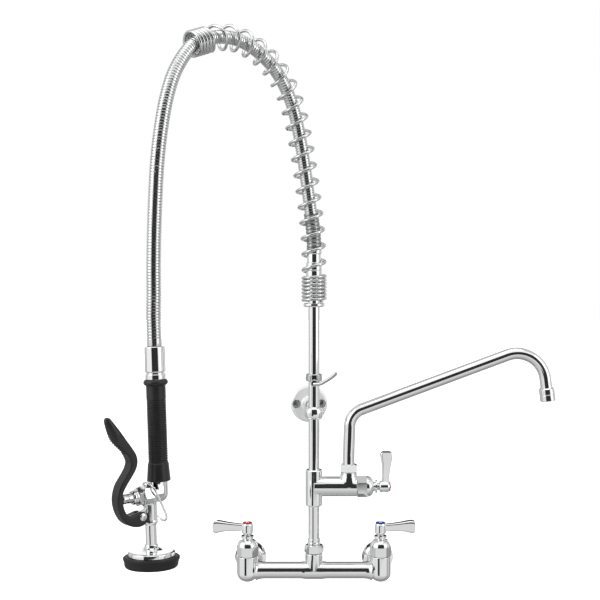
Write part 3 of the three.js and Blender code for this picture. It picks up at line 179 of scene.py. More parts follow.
def smooth_route(points, steps=40):
    """Close points along a smooth line through the given ones."""
    ends = [2 * points[0] - points[1], *points, 2 * points[-1] - points[-2]]
    line = []
    for a, b, c, d in zip(ends, ends[1:], ends[2:], ends[3:]):
        g, h, k = (sqrt((q - p).length) for p, q in ((a, b), (b, c), (c, d)))
        leave = ((b - a) / g - (c - a) / (g + h) + (c - b) / h) * h
        arrive = ((c - b) / h - (d - b) / (h + k) + (d - c) / k) * h
        for i in range(steps):
            t = i / steps
            line.append(b + leave * t + (3 * (c - b) - 2 * leave - arrive) * t**2
                        + (2 * (b - c) + leave + arrive) * t**3)
    line.append(points[-1].copy())
    return line


def length_of(line):
    return sum((b - a).length for a, b in zip(line, line[1:]))


def walk(line, distances):
    """Centre and direction at each of some rising distances along a line of close points."""
    stops, passed, i = [], 0.0, 0
    for distance in distances:
        while i + 2 < len(line) and passed + (line[i + 1] - line[i]).length < distance:
            passed += (line[i + 1] - line[i]).length
            i += 1
        run = line[i + 1] - line[i]
        share = min((distance - passed) / run.length, 1)
        around = line[min(i + 2, len(line) - 1)] - line[max(i - 1, 0)]
        stops.append((line[i].lerp(line[i + 1], share), around.normalized()))
    return stops


def only(piece):
    """Selects one object and nothing else."""
    bpy.ops.object.select_all(action="DESELECT")
    piece.select_set(True)
    bpy.context.view_layer.objects.active = piece
    return piece


def close_up(merge=0.0):
    """Leaves edit mode with points nearer than merge, in metres, joined and all faces turned outwards."""
    bpy.ops.mesh.select_all(action="SELECT")
    if merge:
        bpy.ops.mesh.remove_doubles(threshold=merge)
    bpy.ops.mesh.normals_make_consistent(inside=False)
    bpy.ops.object.mode_set(mode="OBJECT")


def wire(points, radius, sides=24, radii=None, ring=False):
    """A round wire or tube along points, made into a mesh; radii gives each point its own radius."""
    line = bpy.data.curves.new("wire", "CURVE")
    line.dimensions = "3D"
    spline = line.splines.new("POLY")
    spline.points.add(len(points) - 1)
    for i, (knot, place) in enumerate(zip(spline.points, points)):
        knot.co = (*place, 1)
        knot.radius = (radii[i] if radii else radius) / radius
    spline.use_cyclic_u = ring
    line.bevel_depth = radius * MM
    line.bevel_resolution = (sides - 4) // 2
    line.use_fill_caps = not ring
    piece = bpy.data.objects.new("wire", line)
    bpy.context.collection.objects.link(piece)
    only(piece)
    bpy.ops.object.convert(target="MESH")
    piece = bpy.context.object
    bpy.ops.object.mode_set(mode="EDIT")
    close_up(1e-7)
    return piece


def clouded(name, scale, detail, stops, spread, gloss, relief):
    """A finish whose colour and gloss vary in clouds, over a relief of a given height, strength, scale and
    detail; all on the object's own coordinates."""
    paint = bpy.data.materials.new(name)
    paint.use_nodes = True
    nodes, links = paint.node_tree.nodes, paint.node_tree.links
    shader = nodes["Principled BSDF"]
    place = nodes.new("ShaderNodeTexCoord")

    def noise(noise_scale, noise_detail):
        pattern = nodes.new("ShaderNodeTexNoise")
        pattern.inputs["Scale"].default_value = noise_scale
        pattern.inputs["Detail"].default_value = noise_detail
        links.new(place.outputs["Object"], pattern.inputs["Vector"])
        return pattern.outputs["Fac"]

    clouds = noise(scale, detail)
    amount = nodes.new("ShaderNodeMapRange")
    for socket, value in zip(("From Min", "From Max", "To Min", "To Max"), (*spread, *gloss)):
        amount.inputs[socket].default_value = value
    links.new(clouds, amount.inputs["Value"])
    links.new(amount.outputs["Result"], shader.inputs["Roughness"])
    shades = nodes.new("ShaderNodeValToRGB")
    for i, (position, color) in enumerate(stops):
        shades.color_ramp.elements[i].position = position
        shades.color_ramp.elements[i].color = (*color, 1)
    links.new(clouds, shades.inputs["Fac"])
    links.new(shades.outputs["Color"], shader.inputs["Base Color"])
    height, strength, relief_scale, relief_detail = relief
    if height:
        bump = nodes.new("ShaderNodeBump")
        bump.inputs["Strength"].default_value = strength
        bump.inputs["Distance"].default_value = height
        links.new(noise(relief_scale, relief_detail), bump.inputs["Height"])
        links.new(bump.outputs["Normal"], shader.inputs["Normal"])
    return paint, shader


def metal_finish(name, color, roughness, haze=0.02, haze_scale=45, ripple=0.0, ripple_scale=90, tint=0.02,
                 bare=1.0):
    """Bare or plated metal: the gloss clouds over a little in patches and the face has a faint ripple."""
    paint, shader = clouded(
        name, haze_scale, 4, ((0, [c * (1 - tint) for c in color]), (1, color)), (0.35, 0.7),
        (roughness, roughness + haze), (ripple, 1.0, ripple_scale, 1),
    )
    shader.inputs["Metallic"].default_value = bare
    return paint


def alter(piece, kind, **settings):
    """Gives a piece a modifier with some settings and applies it."""
    only(piece)
    work = piece.modifiers.new(kind, kind)
    for setting, value in settings.items():
        setattr(work, setting, value)
    bpy.ops.object.modifier_apply(modifier=work.name)
    return piece


def put(piece, place):
    """Moves a piece, its place kept in its mesh."""
    only(piece)
    piece.matrix_world = place
    bpy.ops.object.transform_apply()
    return piece


chrome = metal_finish("chrome_plate", (0.93, 0.935, 0.94), 0.035, ripple=0.000006)


def settle(piece, body, node, place=Matrix(), paint=chrome, sharp=35):
    """Puts a piece in its place and gives it its finish, its body and the CAD node it stands for."""
    put(piece, place).name = f"{node}_finished"
    bpy.ops.object.shade_smooth_by_angle(angle=radians(sharp))
    alter(piece, "WEIGHTED_NORMAL", keep_sharp=True)
    piece.data.materials.clear()
    piece.data.materials.append(paint)
    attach(piece, body)
    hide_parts(node)


spray_end = in_arch(285, 355)
spray_up = Vector((-sin(SPRAY_LEAN), 0, cos(SPRAY_LEAN)))
hose_route = smooth_route(
    [in_arch(*p) for p in HOSE_ROOT + [p for p in ARCH_RISE if p[1] > HOSE_ROOT[-1][1] + 20] + HOSE_DROP]
    + [spray_end + spray_up * 40 * MM, spray_end + spray_up * 20 * MM, spray_end]
)
hose_end = length_of(hose_route) / MM


def rib_stations(start, end, plain, pitch, depths, radius):
    """Distances and radii of evenly rolled ribs between two plain ends."""
    count = round((end - start - 2 * plain) / pitch)
    step = (end - start - 2 * plain) / count
    stations = [(start, radius - 0.5), (start + 0.4, radius), (start + plain - 0.3, radius)]
    for i in range(count):
        stations += [(start + plain + (i + k / len(depths)) * step, radius - depth)
                     for k, depth in enumerate(depths)]
    return stations + [(end - plain + 0.3, radius), (end - 0.4, radius), (end, radius - 0.5)]


def ribbed_tube(stations, radius, sides):
    stops = walk(hose_route, [distance * MM for distance, _ in stations])
    return wire([centre for centre, _ in stops], radius, sides, [r for _, r in stations])


hose_casing = metal_finish("hose_casing", (0.78, 0.785, 0.79), 0.13, haze=0.05, haze_scale=120, tint=0.05)
ribs = rib_stations(HOSE_START, hose_end, 7, RIB_PITCH, RIB_DEPTHS, HOSE_RADIUS)
hose = ribbed_tube(ribs, HOSE_RADIUS, 30)
settle(hose, "faucet", "hose", paint=hose_casing, sharp=60)


def rounded(profile, radius=0.5, steps=3):
    """A profile with its corners rounded, all but the two where it starts and ends."""
    points = [Vector(p) for p in profile]
    soft = [points[0]]
    for before, corner, after in zip(points, points[1:], points[2:]):
        back, ahead = before - corner, after - corner
        if back.angle(ahead) > radians(166):
            soft.append(corner)
            continue
        reach = min(radius, back.length * 0.46, ahead.length * 0.46)
        start, end = corner + back.normalized() * reach, corner + ahead.normalized() * reach
        soft += [start.lerp(corner, i / steps).lerp(corner.lerp(end, i / steps), i / steps)
                 for i in range(steps + 1)]
    return [tuple(p) for p in soft] + [tuple(points[-1])]


def bow(centre, height, across, up, start, end, steps=8):
    """Profile points along a part of an ellipse about (centre, height), in degrees from outwards."""
    turns = [radians(start + (end - start) * i / steps) for i in range(steps + 1)]
    return [(centre + across * cos(a), height + up * sin(a)) for a in turns]


def outline_mesh(points, flat=(0, 2)):
    """A chain of edges drawn point by point in edit mode, in the X-Z plane or the one given."""
    def spot(point):
        place = [0.0, 0.0, 0.0]
        place[flat[0]], place[flat[1]] = point[0] * MM, point[1] * MM
        return Vector(place)

    bpy.ops.mesh.primitive_plane_add(size=MM, location=spot(points[0]))
    piece = bpy.context.object
    bpy.ops.object.transform_apply()
    bpy.ops.object.mode_set(mode="EDIT")
    bpy.ops.mesh.merge(type="CENTER")
    for a, b in zip(points, points[1:]):
        bpy.ops.mesh.extrude_region_move(TRANSFORM_OT_translate={"value": spot(b) - spot(a)})
    return piece


def turned(profile, soft=0, sides=64, steps=3):
    """A piece turned about Z from (radius, height) points, its corners rounded by soft; a profile that stays
    off the axis is closed."""
    if soft:
        profile = rounded(profile, soft, steps)
    if profile[0][0] > 0 or profile[-1][0] > 0:
        profile = [*profile, profile[0]]
    piece = outline_mesh(profile)
    bpy.ops.mesh.select_all(action="SELECT")
    bpy.ops.mesh.spin(steps=sides, angle=2 * pi, center=(0, 0, 0), axis=(0, 0, 1))
    close_up(2e-6)
    return piece


RISER = Matrix.Translation((0, -RISER_TO_WALL * MM, 0))
SPRAY = (Matrix.Translation(spray_end) @ Matrix.Rotation(-SPRAY_LEAN, 4, "Y")
         @ Matrix.Rotation(pi + ARCH_YAW, 4, "Z"))

hose_nut = turned([
    (9.9, -8), (9.9, -0.3), (12.8, -0.3), (13.5, -1.1), (13.8, -33.8), (13, -35), (9.6, -35), (9.6, -13),
    (6.5, -13), (6.5, -8), (9.9, -8),
], 0.6)
settle(hose_nut, "faucet", "hose_nut", SPRAY)
walk(hose_route, [HOSE_START * MM])[0][0]
([centre for centre, _ in walk(hose_route, [(HOSE_START + 6 * i) * MM for i in range(145)])]
    + [spray_end])

# ---------- hose root
# Where the hose starts: a brass adapter, chromed, is brazed on the riser's end, and a rolled steel sleeve
# with coarser ribs is crimped round the first stretch of the hose.
ADAPTER_BOTTOM = 446
ADAPTER_TOP = 489
SLEEVE_RADIUS = 11.3
SLEEVE_RIBS = (0.85, 0.5, 0.15, 0.0, 0.0, 0.02, 0.2, 0.6)

hose_adapter = turned([
    (8.9, ADAPTER_BOTTOM), (11.2, ADAPTER_BOTTOM), (12, ADAPTER_BOTTOM + 1), (12, ADAPTER_BOTTOM + 11),
    (11.3, ADAPTER_BOTTOM + 12), (12, ADAPTER_BOTTOM + 13), (12, ADAPTER_BOTTOM + 23),
    (10.6, ADAPTER_BOTTOM + 24), (10.6, ADAPTER_TOP - 6), (11.6, ADAPTER_TOP - 5), (11.6, ADAPTER_TOP),
    (6.5, ADAPTER_TOP), (6.5, ADAPTER_BOTTOM + 12.8), (8.9, ADAPTER_BOTTOM + 12.8),
], 0.5)
settle(hose_adapter, "faucet", "hose_adapter", RISER)
ribs = rib_stations(HOSE_START, HOSE_START + 56, 3, 5.6, SLEEVE_RIBS, SLEEVE_RADIUS)
hose_sleeve = ribbed_tube(ribs, SLEEVE_RADIUS, 40)
rolled_steel = metal_finish("rolled_steel", (0.42, 0.425, 0.43), 0.22, haze=0.08, haze_scale=150, tint=0.1)
settle(hose_sleeve, "faucet", "hose_sleeve", paint=rolled_steel, sharp=60)

# ---------- spring
# The guide spring: one length of hard steel wire, bright plated, wound with closed turns at the foot and
# the end and open turns over the arch. Its foot stands on a loose collar pinned to the riser.
SPRING_RADIUS = 19.3
SPRING_WIRE = 2.35
CLOSED_PITCH = 5.6
OPEN_PITCH = 24.4
FOOT_TURNS = 7
END_TURNS = 5
SPRING_END = [(173, 788.4), (192.7, 783.6), (209.4, 777.4), (226.2, 771.1)]
COLLAR_BOTTOM = 402.4
COLLAR_TOP = 408
STEPS_PER_TURN = 32

spring_route = smooth_route([in_arch(*p) for p in ARCH_RISE + SPRING_END])
spring_length = length_of(spring_route) / MM
foot_start = SPRING_WIRE + COLLAR_TOP + 0.3 - ARCH_RISE[0][1]
foot_end = foot_start + FOOT_TURNS * CLOSED_PITCH
open_end = spring_length - END_TURNS * CLOSED_PITCH
turns_at = []
distance = foot_start
while distance <= spring_length:
    turns_at.append(distance)
    open_turn = foot_end <= distance <= open_end
    distance += (OPEN_PITCH if open_turn else CLOSED_PITCH) / STEPS_PER_TURN
arch_normal = Vector((-sin(ARCH_YAW), cos(ARCH_YAW), 0))
coil = []
for i, (centre, ahead) in enumerate(walk(spring_route, [d * MM for d in turns_at])):
    side = (arch_normal - ahead * arch_normal.dot(ahead)).normalized()
    out = side.cross(ahead).normalized()
    turn = 2 * pi * i / STEPS_PER_TURN
    coil.append(centre + (out * cos(turn) + side * sin(turn)) * (SPRING_RADIUS - SPRING_WIRE) * MM)
spring_plate = metal_finish("spring_plate", (0.74, 0.745, 0.75), 0.1, haze=0.04, haze_scale=160, tint=0.04)
spring = wire(coil, SPRING_WIRE, 18)
settle(spring, "faucet", "spring", paint=spring_plate, sharp=50)

spring_collar = turned([
    (8.95, COLLAR_BOTTOM), (14.6, COLLAR_BOTTOM), (16, COLLAR_BOTTOM + 1.4), (16, COLLAR_TOP - 0.8),
    (15.2, COLLAR_TOP), (8.95, COLLAR_TOP), (8.95, COLLAR_BOTTOM),
], 0.5)
settle(spring_collar, "faucet", "spring_collar", RISER)

# ---------- riser
# Drawn brass tube, chromed. The lower riser has a turned ring and is held in the base's outlet by a
# hexagon nut; the long upper riser is screwed into the add-on valve and carries the spring collar.
RISER_RADIUS = 8.55
RISER_BORE = 6.9
RISER_HOLE = 8.9
TEE_TOP = 26.6


def combine(piece, how, *tools):
    """Joins other solids to a piece, cuts them from it, or keeps what they share with it."""
    for tool in tools:
        alter(piece, "BOOLEAN", operation=how, solver="EXACT", object=tool)
        bpy.data.objects.remove(tool)
    return piece


def break_edges(piece, width, segments=2, sharper_than=28):
    """Rounds a piece's sharp edges."""
    alter(piece, "BEVEL", width=width * MM, segments=segments, limit_method="ANGLE",
          angle_limit=radians(sharper_than), use_clamp_overlap=True)
    bpy.ops.object.mode_set(mode="EDIT")
    bpy.ops.mesh.select_all(action="SELECT")
    bpy.ops.mesh.remove_doubles(threshold=1e-5)
    bpy.ops.object.mode_set(mode="OBJECT")
    return piece


def rod(radius, low, high, sides=64):
    return turned([(0, low), (radius, low), (radius, high), (0, high)], 0, sides)


def hex_bar(flats, low, high, foot=1.0, head=1.0):
    """A hexagon bar with its corners turned down at the foot and the head."""
    corner = flats / sqrt(3)
    bpy.ops.mesh.primitive_cylinder_add(
        vertices=6, radius=corner * MM, depth=(high - low) * MM, location=(0, 0, (low + high) / 2 * MM),
        rotation=(0, 0, pi / 6),
    )
    bar = bpy.context.object
    bpy.ops.object.transform_apply()
    lathe = turned([
        (0, low), (corner - 2.2 * foot, low), (corner + 0.05, low + foot), (corner + 0.05, high - head),
        (corner - 2.2 * head, high), (0, high),
    ], 0, 72)
    return combine(bar, "INTERSECT", lathe)


nut = hex_bar(25.8, TEE_TOP + 0.3, TEE_TOP + 12.9, 1.3, 1.6)
break_edges(combine(nut, "DIFFERENCE", rod(RISER_HOLE, 20, 50)), 0.35)
settle(nut, "faucet", "outlet_nut", RISER)

lower_riser = turned([
    (RISER_BORE, 14.1), (RISER_RADIUS, 14.1), (RISER_RADIUS, 39.8), (9.5, 39.8), (9.5, 42.6), (9.15, 43.2),
    (9.5, 43.8), (9.5, 48.2), (RISER_RADIUS, 48.2), (RISER_RADIUS, 111.1), (RISER_BORE, 111.1),
    (RISER_BORE, 14.1),
], 0.4)
settle(lower_riser, "faucet", "lower_riser", RISER)
upper_riser = turned([
    (RISER_BORE, 141.6), (RISER_RADIUS, 141.6), (RISER_RADIUS, 458.5), (RISER_BORE, 458.5),
    (RISER_BORE, 141.6),
], 0.3, 96)
settle(upper_riser, "faucet", "riser", RISER)

# ---------- base
# One polished and chromed brass casting: the cross tube flares into two upright valve bodies, each with a
# shank towards the wall, and carries the outlet tee in its middle.
VALVE_SPREAD = 203.2
VALVE_X = VALVE_SPREAD / 2
BODY_TOP = 22
CHAMBER_RADIUS = 10.3
ALONG_X = Matrix.Rotation(pi / 2, 4, "Y")
ALONG_Y = Matrix.Rotation(-pi / 2, 4, "X")


def at(x=0, y=0, z=0):
    return Matrix.Translation((x * MM, y * MM, z * MM))


cast_chrome = metal_finish("cast_chrome", (0.93, 0.935, 0.94), 0.05, haze=0.05, ripple=0.00003,
                           ripple_scale=55)
half_tube = [(13.5, 12), (12.9, 16), (12.5, 20), (12.5, VALVE_X - 28),
             *bow(24.5, VALVE_X - 26, 12, 19, 180, 138, 6)]
base = put(turned([
    (0, 5 - VALVE_X), *[(r, -x) for r, x in reversed(half_tube)], *half_tube, (0, VALVE_X - 5),
]), ALONG_X)
parts = [turned([(0, 0), (13.4, 0), (13.4, TEE_TOP), (0, TEE_TOP)], 1)]
holes = [rod(RISER_HOLE, 13.8, 30)]
for x in (-VALVE_X, VALVE_X):
    parts.append(put(turned([
        *bow(0, -4, 16, 13.3, -90, 0, 12), (16, BODY_TOP), (0, BODY_TOP),
    ], 0.9), at(x)))
    parts.append(put(turned([(0, 0), (13, 0), (13, 34), (0, 34)], 0.6), at(x) @ ALONG_Y))
    holes.append(put(rod(CHAMBER_RADIUS, -5.3, 30), at(x)))
combine(combine(base, "UNION", *parts), "DIFFERENCE", *holes)
settle(base, "faucet", "base_body", RISER, cast_chrome)

# ---------- inlets
# From each shank a chromed brass tailpiece goes to the wall, held by a hexagon union nut, and a spun
# bell flange covers the hole in the wall.
for side, x in (("hot", -VALVE_X), ("cold", VALVE_X)):
    place = RISER @ at(x) @ ALONG_Y
    tail = turned([(0, 34.3), (10.6, 34.3), (10.6, 80), (8, 80), (8, 46), (0, 46)], 0.4)
    settle(tail, "faucet", f"{side}_inlet", place)
    nut = hex_bar(32, 25.3, 40.3, 1.4, 1.8)
    break_edges(combine(nut, "DIFFERENCE", rod(13.4, 20, 34.3), rod(10.95, 20, 45)), 0.4)
    settle(nut, "faucet", f"{side}_inlet_nut", place)
    bell = turned([
        (11.1, 65), (14.2, 65), *bow(25, 65.5, 10.8, 11.8, 180, 90, 12), (25, 80), (11.1, 80), (11.1, 65),
    ], 0.6, 96)
    settle(bell, "faucet", f"{side}_wall_flange", place)

# ---------- valve heads
# Three alike, on the hot, cold and add-on valves: a hexagon brass bonnet with a domed shoulder and a thin
# collar, a quarter-turn cartridge with its spindle, and a cast lever held by a dome-headed screw through
# a coloured ring.
BONNET_BOTTOM = 22.3
BONNET_SHOULDER = 36.8
COLLAR_LOW = 49.9
COLLAR_HIGH = 52.9
HUB_BOTTOM = 56.1
HUB_TOP = 71.7
SPINDLE_HOLE = 4.7
ADDON_AXIS = 127.8
LEVER_FORM = [  # reach from the hub's axis, middle height, half width and half height
    (3, 65.4, 3.4, 5.1), (10, 65.5, 3.9, 5.3), (18, 65.8, 4.48, 5.8), (26, 66.4, 5.06, 6.3),
    (33, 66.9, 5.57, 6.9), (39, 67.1, 6, 7.9), (44, 67, 6.36, 8.9), (47.6, 66.8, 6.62, 9.4),
    (50, 66.8, 6.8, 9.1), (51.7, 66.9, 6.92, 8.2), (52.6, 67, 6.98, 6.9), (53, 67, 7, 5.4),
]


def smooth_outline(points, steps=4):
    """A closed outline made smooth, as close points; the first is not repeated at the end."""
    knots = [Vector((*p, 0)) for p in points]
    route = smooth_route([knots[-1], *knots, knots[0], knots[1]], steps)
    return [(p.x, p.y) for p in route[steps:-steps - 1]]


def filled(outline, flat, shift):
    """A closed outline filled with one face and moved, still in edit mode."""
    piece = outline_mesh([*outline, outline[0]], flat)
    bpy.ops.mesh.select_all(action="SELECT")
    bpy.ops.mesh.remove_doubles(threshold=1e-6)
    bpy.ops.mesh.select_all(action="SELECT")
    bpy.ops.transform.translate(value=shift)
    bpy.ops.mesh.edge_face_add()
    return piece


def slab(outline, thickness, edge, segments=4):
    """A flat-sided piece from an outline in the X-Z plane, its thickness along Y, its edges rounded."""
    piece = filled(outline, (0, 2), (0, -thickness / 2 * MM, 0))
    bpy.ops.mesh.extrude_region_move(TRANSFORM_OT_translate={"value": (0, thickness * MM, 0)})
    close_up()
    return break_edges(piece, edge, segments, 50)


def drawn_out(softness, stations):
    """A solid along X whose oblong outline, its corners rounded, is moved and resized at every station."""
    x, middle, wide, high = stations[0]
    outline = []
    for quarter, (right, up) in enumerate(((1, 1), (-1, 1), (-1, -1), (1, -1))):
        outline += [
            (right * wide * (1 - softness) + wide * softness * cos(t),
             middle + up * high * (1 - softness) + high * softness * sin(t))
            for t in [pi / 2 * (quarter + i / 6) for i in range(7)]
        ]
    piece = filled(outline, (1, 2), (x * MM, 0, 0))
    for here, after in zip(stations, stations[1:]):
        step = [(after[0] - here[0]) * MM, 0, (after[1] - here[1]) * MM]
        bpy.ops.mesh.extrude_region_move(TRANSFORM_OT_translate={"value": step})
        bpy.ops.transform.resize(value=(1, after[2] / here[2], after[3] / here[3]),
                                 center_override=(after[0] * MM, 0, after[1] * MM))
    close_up()
    return piece


lever = break_edges(drawn_out(0.4, [Vector(station) for station in LEVER_FORM]), 0.5, 3, 60)
hub = turned([
    (0, HUB_BOTTOM), (7.4, HUB_BOTTOM), (8.7, HUB_BOTTOM + 1.8), (8.7, HUB_TOP - 2.4), (7.5, HUB_TOP - 0.4),
    (7.4, HUB_TOP), (0, HUB_TOP),
], 0.5, 72)
lever = combine(hub, "UNION", lever)
lever = combine(lever, "DIFFERENCE", rod(SPINDLE_HOLE, 50, 67), rod(2.5, 60, 75))

bonnet = hex_bar(28.3, BONNET_BOTTOM, BONNET_SHOULDER + 0.3, 0.9, 0.02)
dome = turned([
    (0, BONNET_SHOULDER - 0.3), (15.9, BONNET_SHOULDER - 0.3),
    *bow(7, BONNET_SHOULDER, 8.7, 10.5, 4, 84, 12),
    (6.7, COLLAR_LOW - 1.6), (6.7, COLLAR_LOW), (9.65, COLLAR_LOW), (9.65, COLLAR_HIGH), (0, COLLAR_HIGH),
], 0.45, 72)
bonnet = combine(bonnet, "UNION", dome)
bonnet = combine(bonnet, "DIFFERENCE", rod(CHAMBER_RADIUS, 20, BONNET_SHOULDER), rod(SPINDLE_HOLE, 20, 60))

spindle = turned([
    (0, -5), (4.3, -5), (4.3, COLLAR_HIGH + 0.3), (5.5, COLLAR_HIGH + 0.3), (5.5, COLLAR_HIGH + 2.9),
    (4.3, COLLAR_HIGH + 2.9), (4.3, HUB_TOP - 5), (2.55, HUB_TOP - 5), (2.55, HUB_TOP - 13),
    (0, HUB_TOP - 13),
], 0.3, 48)
ring = turned([
    (3, HUB_TOP), (7.3, HUB_TOP), (7.3, HUB_TOP + 1.4), (3, HUB_TOP + 1.4), (3, HUB_TOP),
], 0.35, 72)
screw = turned([
    (0, HUB_TOP - 12), (2.2, HUB_TOP - 12), (2.2, HUB_TOP + 0.3), (2.8, HUB_TOP + 0.3), (2.8, HUB_TOP + 1.7),
    *bow(0, HUB_TOP + 1.7, 2.8, 1.2, 12, 90, 8),
], 0.2, 48)


def cross_recess(size, depth, top):
    """The tool that cuts a screw's cross recess: two tapered wings."""
    wings = []
    for turn in (0, pi / 2):
        wing = slab([(-size, top + 1), (size, top + 1), (size * 0.35, top - depth),
                             (-size * 0.35, top - depth)], size * 0.32, 0.02, 1)
        wings.append(put(wing, Matrix.Rotation(turn, 4, "Z")))
    return combine(wings[0], "UNION", wings[1])


screw = combine(screw, "DIFFERENCE", cross_recess(1.7, 1.4, HUB_TOP + 2.9))


def plastic_finish(name, color, roughness, gleam=0.5, grain=0.0, grain_scale=900, tint=0.15):
    """Moulded plastic or rubber: a slightly uneven colour and gloss over a fine moulded grain."""
    stops = ((0.3, [c * (1 - tint) for c in color]), (0.75, [min(c * (1 + tint), 1) for c in color]))
    paint, shader = clouded(
        name, 60, 5, stops, (0, 1), (roughness - 0.05, roughness + 0.07), (grain, 0.6, grain_scale, 2)
    )
    shader.inputs["Specular IOR Level"].default_value = gleam
    return paint


def twin(piece):
    """A copy of a piece with its own mesh."""
    copy = piece.copy()
    copy.data = piece.data.copy()
    bpy.context.collection.objects.link(copy)
    return copy


def dress(node, paint):
    """Gives a CAD node that stays its finish."""
    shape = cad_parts[node]
    shape.data.materials.clear()
    shape.data.materials.append(paint)


index_red = plastic_finish("index_red", (0.45, 0.012, 0.025), 0.5, 0.25)
index_blue = plastic_finish("index_blue", (0.012, 0.03, 0.33), 0.5, 0.25)
brass = metal_finish("turned_brass", (0.72, 0.52, 0.24), 0.25, haze=0.1, haze_scale=200, tint=0.1)
nickel = metal_finish("nickel_plate", (0.74, 0.72, 0.69), 0.12, haze=0.06, haze_scale=200, tint=0.05)
bright_steel = metal_finish("bright_steel", (0.8, 0.805, 0.81), 0.13, haze=0.06, haze_scale=250, tint=0.06)
addon_head = RISER @ at(43.6, 0, ADDON_AXIS) @ Matrix.Rotation(pi, 4, Vector((1, 0, 1)).normalized())
heads = (
    ("hot", RISER @ at(-VALVE_X) @ Matrix.Rotation(pi, 4, "Z"), index_red, "index_red"),
    ("cold", RISER @ at(VALVE_X), index_blue, "index_blue"),
    ("addon", addon_head, index_red, "index_red"),
)
for side, place, color, color_slot in heads:
    body = f"{side}_lever"
    settle(twin(bonnet), "faucet", f"{side}_bonnet", place, cast_chrome)
    settle(twin(spindle), body, f"{side}_spindle", place, nickel)
    settle(twin(lever), body, f"{side}_handle", place, cast_chrome)
    settle(twin(ring), body, f"{side}_index_ring", place, color)
    settle(twin(screw), body, f"{side}_handle_screw", place)
    dress(f"{side}_cartridge", brass)
for pattern in (bonnet, spindle, lever, ring, screw):
    bpy.data.objects.remove(pattern)

# ---------- add-on valve
# A second chromed casting on the riser: an upright sleeve, a level barrel that ends in a valve head, and a
# boss on the barrel for the swing spout.
ADDON_LOW = 98.6
ADDON_HIGH = 154.1
BARREL_END = 65.6
SPOUT_AXIS = 53.1
BOSS_TOP = 150

addon = turned([
    (0, ADDON_LOW), (11.6, ADDON_LOW), (13, ADDON_LOW + 1.5), (13, ADDON_HIGH - 1.5), (11.6, ADDON_HIGH),
    (0, ADDON_HIGH),
], 0.5)
barrel = put(turned([(0, 0), (15, 0), (15, BARREL_END), (0, BARREL_END)], 0.8, 96),
             at(0, 0, ADDON_AXIS) @ ALONG_X)
boss = put(turned([
    (0, ADDON_AXIS), (15.4, ADDON_AXIS), (15.2, 138), (14.2, 142.5), (12.9, 145.5), (12.5, 148),
    (12.5, BOSS_TOP), (0, BOSS_TOP),
], 0.9), at(SPOUT_AXIS))
combine(addon, "UNION", barrel, boss)
combine(
    addon, "DIFFERENCE", rod(RISER_HOLE, 90, 111.4), rod(RISER_HOLE, 141.3, 160), rod(RISER_BORE, 90, 160),
    put(rod(CHAMBER_RADIUS, 38.3, 70), at(0, 0, ADDON_AXIS) @ ALONG_X),
    put(rod(9.35, BOSS_TOP - 10, BOSS_TOP + 5), at(SPOUT_AXIS)),
)
settle(addon, "faucet", "addon_body", RISER, cast_chrome)

# ---------- swing spout
# A bent tube of chromed brass that turns in the add-on valve's boss under a hexagon nut. Its end bends
# down and carries a screwed shell with a wire screen that straightens the stream.
SPOUT_RADIUS = 9
SPOUT_WALL = 1.6
SPOUT_END_LEAN = radians(7)
SPOUT_BENDS = (120, 28.6, 43.4)
SPOUT_END_STRAIGHT = 23.7
STRAND_PITCH = 1.15


def bent_pipe(radius, wall, corners, bends, sides=64):
    """A tube through corners in the X-Z plane, bent round each inner one, starting straight up."""
    corners = [Vector(c) for c in corners]
    runs = [(b - a).normalized() for a, b in zip(corners, corners[1:])]
    turns = [atan2(a.y * b.x - a.x * b.y, a.dot(b)) for a, b in zip(runs, runs[1:])]
    trims = [0, *[bend * tan(abs(turn) / 2) for bend, turn in zip(bends, turns)], 0]
    bpy.ops.mesh.primitive_circle_add(
        vertices=sides, radius=radius * MM, location=(corners[0].x * MM, 0, corners[0].y * MM)
    )
    pipe = bpy.context.object
    bpy.ops.object.transform_apply()
    bpy.ops.object.mode_set(mode="EDIT")
    place = corners[0]
    for i, run in enumerate(runs):
        length = (corners[i + 1] - corners[i]).length - trims[i] - trims[i + 1]
        bpy.ops.mesh.extrude_region_move(
            TRANSFORM_OT_translate={"value": (run.x * length * MM, 0, run.y * length * MM)}
        )
        place = place + run * length
        if i < len(turns):
            side = 1 if turns[i] > 0 else -1
            centre = place + Vector((run.y, -run.x)) * side * bends[i]
            steps = max(2, round(abs(degrees(turns[i])) / 3))
            bpy.ops.mesh.spin(
                steps=steps, angle=-turns[i], center=(centre.x * MM, 0, centre.y * MM), axis=(0, 1, 0)
            )
            nxt = runs[i + 1]
            place = centre - Vector((nxt.y, -nxt.x)) * side * bends[i]
    close_up(1e-6)
    return alter(pipe, "SOLIDIFY", thickness=wall * MM, offset=-1)


def join(piece, others):
    """Makes other meshes a part of a piece's mesh."""
    only(piece)
    for other in others:
        other.select_set(True)
    bpy.ops.object.join()


corner = Vector((SPOUT_AXIS + 2, 239))
peak = Vector((SPOUT_AXIS + 293.8, 347.5))
climb = atan2(peak.y - corner.y, peak.x - corner.x)
last_run = SPOUT_BENDS[2] * tan((climb + pi / 2 - SPOUT_END_LEAN) / 2) + SPOUT_END_STRAIGHT
spout_end = peak + Vector((sin(SPOUT_END_LEAN), -cos(SPOUT_END_LEAN))) * last_run
corners = [(SPOUT_AXIS, BOSS_TOP - 9.4), (SPOUT_AXIS, BOSS_TOP + 24.5), corner, peak, spout_end]
spout = bent_pipe(SPOUT_RADIUS, SPOUT_WALL, corners, SPOUT_BENDS)
settle(spout, "swing_spout", "spout", RISER)
nut = put(hex_bar(24.6, BOSS_TOP + 0.3, BOSS_TOP + 12.8, 1.2, 2.0),
          Matrix.Rotation(pi / 6, 4, "Z"))
nut = combine(nut, "DIFFERENCE", rod(9.35, 140, 170), rod(11, 140, BOSS_TOP + 3.3))
